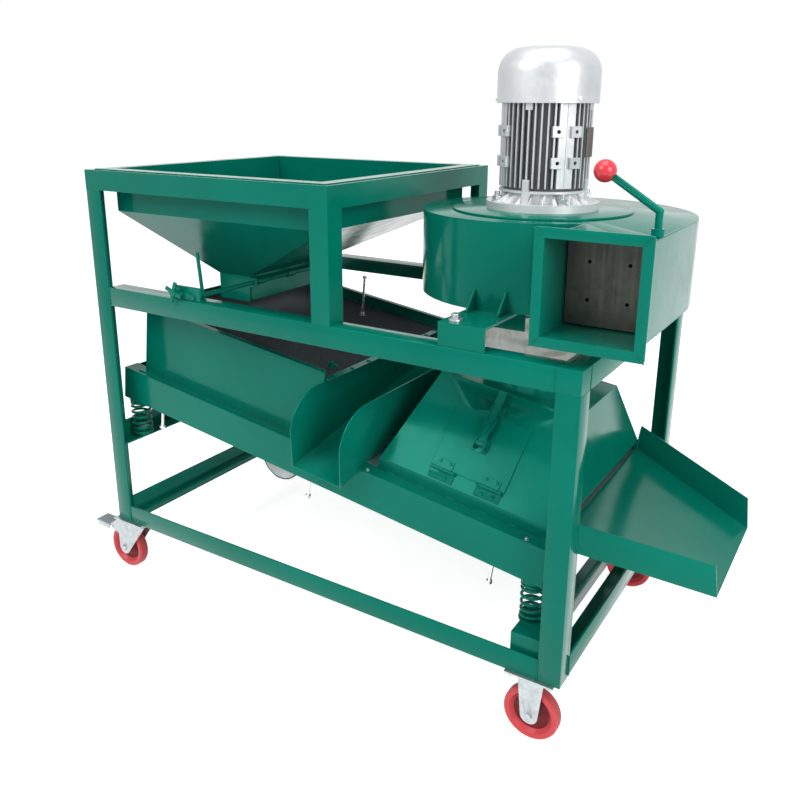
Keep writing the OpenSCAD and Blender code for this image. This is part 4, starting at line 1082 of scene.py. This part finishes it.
@dataclass
class PedalTread:
    """The pressed ribs on a brake pedal's foot plate."""

    corner: str
    body: Body
    y: float
    left: float = -116.0
    top: float = 121.5
    ribs: int = 7
    pitch: float = 7.6
    rib: Triple = (3.6, 41.0, 2.2)
    lift: float = 0.9
    rounding: float = 0.6

    def build(self) -> bpy.types.Object:
        """Lays the ribs across the foot plate.

        Returns:
            The ribs.
        """
        Workshop.clear()
        bpy.ops.mesh.primitive_cube_add(size=1.0)
        rib = bpy.context.object
        rib.scale = Vector(self.rib) * MILLIMETRE
        rib.location = place(self.left, self.y, self.top + self.lift)
        Workshop.take(rib)
        bpy.ops.object.transform_apply(location=True, rotation=True, scale=True)
        Workshop.apply(rib, "BEVEL", width=self.rounding * MILLIMETRE, segments=2)
        step = Vector((self.pitch, 0.0, 0.0)) * MILLIMETRE
        Workshop.apply(rib, "ARRAY", use_relative_offset=False, use_constant_offset=True,
                       constant_offset_displace=step, count=self.ribs)
        return Workshop.mount(rib, "tread_ribs_" + self.corner, Finish.ZINC, "zinc_steel", self.body)


@dataclass
class VibratorCaps:
    """Bright pressed caps over both ends of the vibration motor."""

    along: float = 411.0
    up: float = -108.0
    half: float = 75.0
    radius: float = 68.0
    depth: float = 50.0
    middle: float = 375.0
    play: float = 0.2

    def build(self) -> bpy.types.Object:
        """Presses the two caps.

        Returns:
            Both caps.
        """
        r, d = self.radius + self.play, self.depth + self.play
        inside = [(0.0, d), (r - 8.0, d), (r - 2.0, d - 2.0), (r, d - 7.0), (r, 4.0), (r + 2.2, 2.0)]
        outside = [(r + 2.2, 0.0), (r + 1.2, 0.0), (r + 1.0, d - 7.0), (r - 1.4, d - 1.0),
                   (r - 8.0, d + 1.2)]
        boss = [(18.0, d + 1.6), (16.0, d + 3.4), (0.0, d + 3.4)]
        section = inside + outside + boss
        spots = [Spot(on_slope(self.along, self.middle + side * self.half, self.up), BACKWARDS * side)
                 for side in (-1.0, 1.0)]
        caps = Workshop.copied(Workshop.turned(section, 64), spots)
        return Workshop.mount(caps, "vibrator_caps", Finish.ZINC, "zinc_steel", Body.SHAKER)


@dataclass
class RefinedSheets:
    """Sheets and castings remade from their nodes: closed, smooth on curves, with soft edges."""

    edges: dict[str, float] = field(default_factory=lambda: {
        "fan_casing": 0.0, "fan_top_plate": 0.6, "fan_floor": 0.0, "motor_plate": 1.0,
        "outlet_flange": 0.9, "motor_cowl": 0.0, "motor_flange": 0.0, "side_chute": 0.7,
        "hood_collar": 0.0, "suction_hood": 0.0, "discharge_tray": 0.7, "corner_posts": 1.0,
        "mid_rails": 1.0, "lower_rails": 1.0, "damper_knob": 0.0, "damper_lever": 0.0,
        "rigid_forks": 0.0, "vibration_motor": 0.0})
    level_within: float = 0.5
    sharp_over: float = 40.0
    smooth_under: float = 32.0

    def refine(self, name: str, edge: float) -> bpy.types.Object:
        """Remakes one node.

        Args:
            name: The node's name.
            edge: Width of its rounded edges in millimetres, 0 for none.

        Returns:
            The piece that stands in for it.
        """
        node = frame["nodes"][name]
        body, finish = node["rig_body"], node.data.materials[0]
        piece = bpy.data.objects.new(name + "_sheet", node.data.copy())
        bpy.context.scene.collection.objects.link(piece)
        Workshop.take(piece)
        bpy.ops.object.mode_set(mode="EDIT")
        bpy.ops.mesh.select_all(action="SELECT")
        bpy.ops.mesh.remove_doubles(threshold=1e-6)
        bpy.ops.mesh.select_all(action="SELECT")
        bpy.ops.mesh.dissolve_limited(angle_limit=math.radians(self.level_within))
        bpy.ops.object.mode_set(mode="OBJECT")
        if edge > 0.0:
            Workshop.apply(piece, "BEVEL", width=edge * MILLIMETRE, segments=2, limit_method="ANGLE",
                           angle_limit=math.radians(self.sharp_over), use_clamp_overlap=True)
        Workshop.take(piece)
        bpy.ops.object.shade_smooth_by_angle(angle=math.radians(self.smooth_under))
        piece.data.materials.clear()
        piece.data.materials.append(finish)
        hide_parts(name)
        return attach(piece, body)

    def build(self) -> list[bpy.types.Object]:
        """Remakes every listed node."""
        return [self.refine(name, edge) for name, edge in self.edges.items()]


@dataclass
class WeldSeams:
    """Hand-laid weld beads under the paint, rippled, where bars and sheets meet."""

    bead: float = 1.7
    ripple: float = 2.4
    length: float = 1340.0
    depth: float = 750.0
    bar: float = 50.0
    lower_rails: Pair = (166.0, 214.0)
    middle_rails: Pair = (801.0, 849.0)
    outlet_corners_x: tuple[Pair, ...] = ((1231.0, 1249.0), (1447.0, 1429.0))
    outlet_corners_z: tuple[Pair, ...] = ((1103.0, 1086.0), (882.0, 900.0))
    hood_ends: Pair = (826.0, 1266.0)
    hood_sides: Pair = (88.0, 662.0)
    hood_band: Pair = (91.0, 119.0)
    stitches: int = 6
    stitch: float = 22.0
    stitch_pitch: float = 78.0
    stitch_start: float = 850.0
    stitch_up: float = 90.6

    def seam(self, start: Vector, end: Vector) -> bpy.types.Object:
        """Lays one bead from start to end.

        Args:
            start: First end in metres.
            end: Other end in metres.

        Returns:
            The bead.
        """
        way = end - start
        count = max(6, int(way.length / (self.ripple * MILLIMETRE / 2)))
        path = [start + way * step / count for step in range(count + 1)]
        # Every other point stands out as a ripple, and the bead's width wanders a little
        swell = [0.86 + 0.24 * (step % 2) + 0.10 * math.sin(step * 0.7) for step in range(count + 1)]
        swell[0] = swell[-1] = 0.4
        return Workshop.tube(path, self.bead * MILLIMETRE, 1, swell)

    def frame_seams(self) -> list[tuple[Vector, Vector]]:
        """Lists the beads of the angle-iron frame and the outlet's flange.

        Returns:
            Both ends of each bead.
        """
        upright = []
        for y in (0.0, self.depth):
            for x in (self.bar, self.length - self.bar):
                upright += [(x, y, self.lower_rails), (x, y, self.middle_rails)]
        for y in (self.bar, self.depth - self.bar):
            upright += [(0.0, y, self.lower_rails), (self.length, y, self.lower_rails),
                        (self.length, y, self.middle_rails)]
        seams = [(place(x, y, low), place(x, y, high)) for x, y, (low, high) in upright]
        for z0, z1 in self.outlet_corners_z:
            seams += [(place(x0, 0.0, z0), place(x1, 0.0, z1)) for x0, x1 in self.outlet_corners_x]
        return seams

    def shaker_seams(self) -> list[tuple[Vector, Vector]]:
        """Lists the beads of the hood and the box under it.

        Returns:
            Both ends of each bead.
        """
        left, right = self.hood_ends
        front, back = self.hood_sides
        low, high = self.hood_band
        seams = [(on_slope(x, y, low), on_slope(x, y, high))
                 for x, y in ((left, front), (right, front), (right, back))]
        for step in range(self.stitches):
            x = self.stitch_start + self.stitch_pitch * step
            seams.append((on_slope(x, front, self.stitch_up),
                          on_slope(x + self.stitch, front, self.stitch_up)))
        return seams

    def build(self) -> list[bpy.types.Object]:
        """Lays every bead on its body.

        Returns:
            The frame's beads and the hood's beads.
        """
        pieces = []
        for name, seams, body in (("frame_welds", self.frame_seams(), Body.FRAME),
                                  ("hood_welds", self.shaker_seams(), Body.SHAKER)):
            beads = Workshop.join([self.seam(*ends) for ends in seams])
            pieces.append(Workshop.mount(beads, name, Finish.GREEN, "green_paint", body))
        return pieces


@dataclass
class Fasteners:
    """Bolts and screws that hold the sheets, the casters, the fan and the motor's cowl."""

    swivel_plates_x: float = 40.0
    plate_underside: float = 161.0
    plate_bolts: Pair = (43.0, 26.0)
    cowl_radius: float = 109.8
    cowl_height: float = 1326.0
    cowl_angles: Triple = (89.0, 209.0, 329.0)
    hinge_x: float = 58.0
    hinge_half: float = 13.0
    hinge_hood: Pair = (10.0, 2.6)
    hinge_door: Pair = (46.0, 5.0)
    box_x: Pair = (812.0, 1216.0)
    box_flange: Pair = (62.0, 90.0)
    bracket_x: float = 1062.0
    bracket_y: Pair = (29.0, 721.0)
    bracket_top: float = 900.0
    sieve_foot: Triple = (432.0, 556.0, 254.0)
    sieve_top: Triple = (427.0, 556.0, 366.0)
    sieve_rod: float = 3.6
    caster_bolt: Triple = (7.4, 5.4, 8.6)
    cowl_screw: Pair = (5.0, 3.4)
    hinge_screw: Pair = (3.6, 2.0)
    box_screw: tuple[float, ...] = (4.4, 3.0, 5.0, 1.0)
    bracket_bolt: tuple[float, ...] = (9.8, 9.4, 14.4, 4.4)
    sieve_head: Triple = (6.4, 5.2, 6.0)
    sieve_nut: Triple = (7.4, 6.0, 9.0)

    def caster_bolts(self) -> bpy.types.Object:
        """Fixes the four caster plates from below.

        Returns:
            The bolts.
        """
        reach_x, reach_y = self.plate_bolts
        spots = [Spot(place(x + i * reach_x, y + j * reach_y, self.plate_underside), -UPWARDS)
                 for x in (self.swivel_plates_x, RIGID_CASTERS_X)
                 for y in (FRONT_CASTERS_Y, BACK_CASTERS_Y)
                 for i in (-1, 1) for j in (-1, 1)]
        bolts = Workshop.copied(Workshop.hex_bolt(*self.caster_bolt), spots)
        return Workshop.mount(bolts, "caster_bolts", Finish.ZINC, "zinc_steel", Body.FRAME)

    def cowl_screws(self) -> bpy.types.Object:
        """Puts three screws round the cowl's lower edge.

        Returns:
            The screws.
        """
        middle = place(MOTOR_X, MOTOR_Y, self.cowl_height)
        spots = []
        for angle in self.cowl_angles:
            out = Vector((math.cos(math.radians(angle)), math.sin(math.radians(angle)), 0.0))
            spots.append(Spot(middle + out * self.cowl_radius * MILLIMETRE, out))
        screws = Workshop.copied(Workshop.pan_head(*self.cowl_screw), spots)
        return Workshop.mount(screws, "cowl_screws", Finish.CHROME, "zinc_steel", Body.FRAME)

    def hinge_screws(self) -> list[bpy.types.Object]:
        """Puts two screws in each hinge leaf, on the hood and on the door.

        Returns:
            The hood's screws and the door's screws.
        """
        pieces = []
        for name, (rise, lift), body in (("hood", self.hinge_hood, Body.SHAKER),
                                         ("door", self.hinge_door, Body.DOOR)):
            spots = [Spot(on_door(side * self.hinge_x + half * self.hinge_half, rise, lift), out_of_door())
                     for side in (-1, 1) for half in (-1, 1)]
            screws = Workshop.copied(Workshop.pan_head(*self.hinge_screw), spots)
            pieces.append(Workshop.mount(screws, f"hinge_screws_{name}", Finish.GREEN, "green_paint", body))
        return pieces

    def box_screws(self) -> bpy.types.Object:
        """Puts bright screws along the lower box's front flange.

        Returns:
            The screws.
        """
        spots = [Spot(on_slope(x, *self.box_flange), slope_way(0.0, 0.0, 1.0)) for x in self.box_x]
        screws = Workshop.copied(Workshop.hex_bolt(*self.box_screw), spots)
        return Workshop.mount(screws, "box_screws", Finish.ZINC, "zinc_steel", Body.SHAKER)

    def bracket_bolts(self) -> bpy.types.Object:
        """Bolts the fan's two brackets down through their washers.

        Returns:
            The bolts.
        """
        spots = [Spot(place(self.bracket_x, y, self.bracket_top), UPWARDS) for y in self.bracket_y]
        bolts = Workshop.copied(Workshop.hex_bolt(*self.bracket_bolt), spots)
        return Workshop.mount(bolts, "bracket_bolts", Finish.ZINC, "zinc_steel", Body.FRAME)

    def sieve_bolt(self) -> bpy.types.Object:
        """Stands the long adjusting bolt on the sieve, with its head at the top.

        Returns:
            The bolt with its nut.
        """
        foot, top = on_slope(*self.sieve_foot), on_slope(*self.sieve_top)
        way = (top - foot).normalized()
        head = Workshop.copied(Workshop.hex_bolt(*self.sieve_head), [Spot(top, way)])
        nut = Workshop.copied(Workshop.hex_bolt(*self.sieve_nut), [Spot(foot, way)])
        bolt = Workshop.join([Workshop.tube([foot, top], self.sieve_rod * MILLIMETRE), head, nut])
        return Workshop.mount(bolt, "sieve_bolt", Finish.CHROME, "zinc_steel", Body.SHAKER)

    def build(self) -> list[bpy.types.Object]:
        """Sets every group of fasteners."""
        return [self.caster_bolts(), self.cowl_screws(), *self.hinge_screws(), self.box_screws(),
                self.bracket_bolts(), self.sieve_bolt()]


@dataclass
class ToggleLatch:
    """What the latch has beside its lever: base plates with rivets and the wire bail."""

    half: float = 17.0
    thick: float = 1.6
    rounding: float = 0.5
    margin: float = 4.0
    door_plate: Triple = (94.0, 134.0, 3.0)
    catch_plate: Triple = (187.5, 214.0, 0.0)
    wire: float = 1.7
    rivet: Pair = (2.4, 1.4)
    bail_side: tuple[Triple, ...] = ((12.0, 146.0, 17.0), (12.0, 170.0, 15.5), (11.0, 200.0, 11.0),
                                     (7.0, 209.0, 9.5))

    def plate(self, low: float, high: float, lift: float, name: str, body: Body) -> bpy.types.Object:
        """Bends one base plate with its four rivets.

        Args:
            low: Its lower edge up the face.
            high: Its upper edge.
            lift: Height of its underside out of the face.
            name: The plate's name.
            body: What it is riveted to.

        Returns:
            The plate.
        """
        Workshop.clear()
        bpy.ops.mesh.primitive_cube_add(size=1.0)
        plate = bpy.context.object
        plate.scale = Vector((2 * self.half, high - low, self.thick)) * MILLIMETRE
        bpy.ops.object.transform_apply(location=False, rotation=False, scale=True)
        Workshop.apply(plate, "BEVEL", width=self.rounding * MILLIMETRE, segments=2)
        across = slope_way(1.0, 0.0, 0.0)
        rising = slope_way(0.0, math.cos(HOOD_FACE), math.sin(HOOD_FACE))
        turn = Matrix((across, rising, out_of_door())).transposed().to_4x4()
        middle = on_door(0.0, (low + high) / 2, lift + self.thick / 2)
        plate.matrix_world = Matrix.Translation(middle) @ turn
        spots = [Spot(on_door(side * (self.half - self.margin), rise, lift + self.thick), out_of_door())
                 for side in (-1, 1) for rise in (low + self.margin, high - self.margin)]
        rivets = Workshop.copied(Workshop.pan_head(*self.rivet), spots)
        return Workshop.mount(Workshop.join([plate, rivets]), name, Finish.GREEN, "green_paint", body)

    def bail(self) -> bpy.types.Object:
        """Bends the wire bail from the lever's sides over the catch.

        Returns:
            The bail.
        """
        path = [on_door(-across, rise, out) for across, rise, out in self.bail_side]
        path += [on_door(across, rise, out) for across, rise, out in reversed(self.bail_side)]
        wire = Workshop.tube(path, self.wire * MILLIMETRE, 2)
        return Workshop.mount(wire, "latch_bail", Finish.GREEN, "green_paint", Body.LATCH, SMOOTH_WIRE)

    def build(self) -> list[bpy.types.Object]:
        """Makes the door's plate, the catch's plate and the bail."""
        return [self.plate(*self.door_plate, "latch_base", Body.DOOR),
                self.plate(*self.catch_plate, "catch_base", Body.SHAKER), self.bail()]


@dataclass
class Studio:
    """Camera, floor, backdrop and soft light."""

    eye: Triple = (1799.8, -1362.9, 1311.2)
    yaw: float = 32.27
    pitch: float = 16.6
    roll: float = 0.28
    lens: float = 36.646
    sensor: float = 36.0
    shift: Pair = (0.0056, -0.0656)
    far: float = 100.0
    floor_size: float = 40.0
    floor_tone: Triple = (0.86, 0.86, 0.86)
    floor_rough: float = 0.9
    floor_glow: float = 0.72
    sky: float = 0.40
    aim: Triple = (0.0, 0.0, 0.6)
    lamps: tuple[tuple[str, Triple, float, float], ...] = (
        ("key", (-1.6, -3.6, 3.6), 2.2, 85.0),
        ("side", (3.6, -1.6, 2.2), 2.2, 84.0),
        ("top", (0.4, -0.6, 4.3), 2.6, 74.0),
    )

    def camera(self) -> bpy.types.Object:
        """Sets the camera at the photographed view.

        Returns:
            The camera.
        """
        yaw, pitch, roll = (math.radians(v) for v in (self.yaw, self.pitch, self.roll))
        ahead = Vector((-math.sin(yaw) * math.cos(pitch), math.cos(yaw) * math.cos(pitch),
                        -math.sin(pitch)))
        right = Vector((math.cos(yaw), math.sin(yaw), 0.0))
        up = right.cross(ahead)
        turned = right * math.cos(roll) + up * math.sin(roll)
        upright = up * math.cos(roll) - right * math.sin(roll)
        data = bpy.data.cameras.new("camera")
        data.lens, data.sensor_width = self.lens, self.sensor
        data.shift_x, data.shift_y = self.shift
        data.clip_end = self.far
        camera = bpy.data.objects.new("camera", data)
        bpy.context.scene.collection.objects.link(camera)
        turn = Matrix((turned, upright, -ahead)).transposed().to_4x4()
        camera.matrix_world = Matrix.Translation(place(*self.eye)) @ turn
        bpy.context.scene.camera = camera
        return camera

    def floor(self) -> bpy.types.Object:
        """Lays a pale floor that keeps the shadow and shows white to the camera.

        Returns:
            The floor.
        """
        Workshop.clear()
        bpy.ops.mesh.primitive_plane_add(size=self.floor_size, location=(0.0, 0.0, 0.0))
        floor = bpy.context.object
        floor.name = "floor"
        bench = NodeBench("floor_white")
        bench.shader.inputs["Base Color"].default_value = (*self.floor_tone, 1.0)
        bench.shader.inputs["Roughness"].default_value = self.floor_rough
        bench.shader.inputs["Specular IOR Level"].default_value = 0.0
        self.whiten(bench)
        floor.data.materials.append(bench.material)
        return floor

    def whiten(self, bench: NodeBench) -> None:
        """Adds to the floor's own light what it lacks to white, for camera and mirror rays only.

        Args:
            bench: The floor's material bench.
        """
        path = bench.add("LightPath")
        seen = bench.add("Math", operation="MAXIMUM")
        bench.link(path.outputs["Is Camera Ray"], seen.inputs[0])
        bench.link(path.outputs["Is Glossy Ray"], seen.inputs[1])
        glow = bench.spread(seen.outputs["Value"], 0.0, 1.0, 0.0, self.floor_glow)
        bench.shader.inputs["Emission Color"].default_value = WHITE
        bench.link(glow, bench.shader.inputs["Emission Strength"])

    def world(self) -> None:
        """Lights the scene all round, white to the camera and in reflections."""
        world = bpy.data.worlds.new("studio")
        bpy.context.scene.world = world
        world.use_nodes = True
        tree = world.node_tree
        background = tree.nodes["Background"]
        background.inputs["Color"].default_value = WHITE
        path = tree.nodes.new("ShaderNodeLightPath")
        level = tree.nodes.new("ShaderNodeMapRange")
        level.inputs["To Min"].default_value = self.sky
        level.inputs["To Max"].default_value = 1.0
        seen = path.outputs["Is Camera Ray"]
        for ray in ("Is Glossy Ray", "Is Transmission Ray"):
            either = tree.nodes.new("ShaderNodeMath")
            either.operation = "MAXIMUM"
            tree.links.new(seen, either.inputs[0])
            tree.links.new(path.outputs[ray], either.inputs[1])
            seen = either.outputs[0]
        tree.links.new(seen, level.inputs["Value"])
        tree.links.new(level.outputs["Result"], background.inputs["Strength"])

    def lamp(self, name: str, at: Triple, size: float, power: float) -> bpy.types.Object:
        """Hangs one square soft lamp that looks at the machine's middle.

        Args:
            name: The lamp's name.
            at: Its place in metres.
            size: Edge length in metres.
            power: Power in watts.

        Returns:
            The lamp.
        """
        data = bpy.data.lights.new(name, "AREA")
        data.size, data.energy = size, power
        lamp = bpy.data.objects.new(name, data)
        bpy.context.scene.collection.objects.link(lamp)
        spot = Vector(at)
        lamp.location = spot
        lamp.rotation_mode = "QUATERNION"
        lamp.rotation_quaternion = (Vector(self.aim) - spot).to_track_quat("-Z", "Y")
        return lamp

    def build(self) -> None:
        """Sets up camera, floor, world and lamps."""
        self.camera()
        self.floor()
        self.world()
        for lamp in self.lamps:
            self.lamp(*lamp)
        bpy.context.scene.view_settings.view_transform = "Standard"


SPRINGS = (
    CoilSpring("front_left", x=36.0, y=82.0, seat=421.09),
    CoilSpring("back_left", x=36.0, y=668.0, seat=421.09),
    CoilSpring("front_right", x=1240.0, y=82.0, seat=254.02),
    CoilSpring("back_right", x=1240.0, y=668.0, seat=254.02),
)
WHEELS = (
    CasterWheel("front_left", Body.WHEEL_FL, SWIVEL_WHEELS_X, FRONT_CASTERS_Y),
    CasterWheel("back_left", Body.WHEEL_BL, SWIVEL_WHEELS_X, BACK_CASTERS_Y),
    CasterWheel("front_right", Body.WHEEL_FR, RIGID_CASTERS_X, FRONT_CASTERS_Y),
    CasterWheel("back_right", Body.WHEEL_BR, RIGID_CASTERS_X, BACK_CASTERS_Y),
)
PEDALS = (
    PedalTread("front", Body.PEDAL_FL, FRONT_CASTERS_Y),
    PedalTread("back", Body.PEDAL_BL, BACK_CASTERS_Y),
)


def main() -> None:
    """Builds the studio and every sub-assembly in order, and reports each piece."""
    logging.basicConfig(level=logging.INFO, format="%(name)s: %(message)s")
    Studio().build()
    log.info("studio ready")
    log.info("painted %d nodes", PaintShop().dress())
    pieces = [spring.build() for spring in SPRINGS]
    pieces += [SieveCloth().build(), SleeveOfCanvas().build()]
    for wheel in WHEELS:
        pieces += wheel.build()
    pieces += [pedal.build() for pedal in PEDALS]
    pieces += WeldSeams().build()
    pieces += RefinedSheets().build()
    pieces.append(VibratorCaps().build())
    pieces += Fasteners().build()
    pieces += ToggleLatch().build()
    for piece in pieces:
        log.info("built %s", piece.name)


if __name__ == "__main__":
    main()
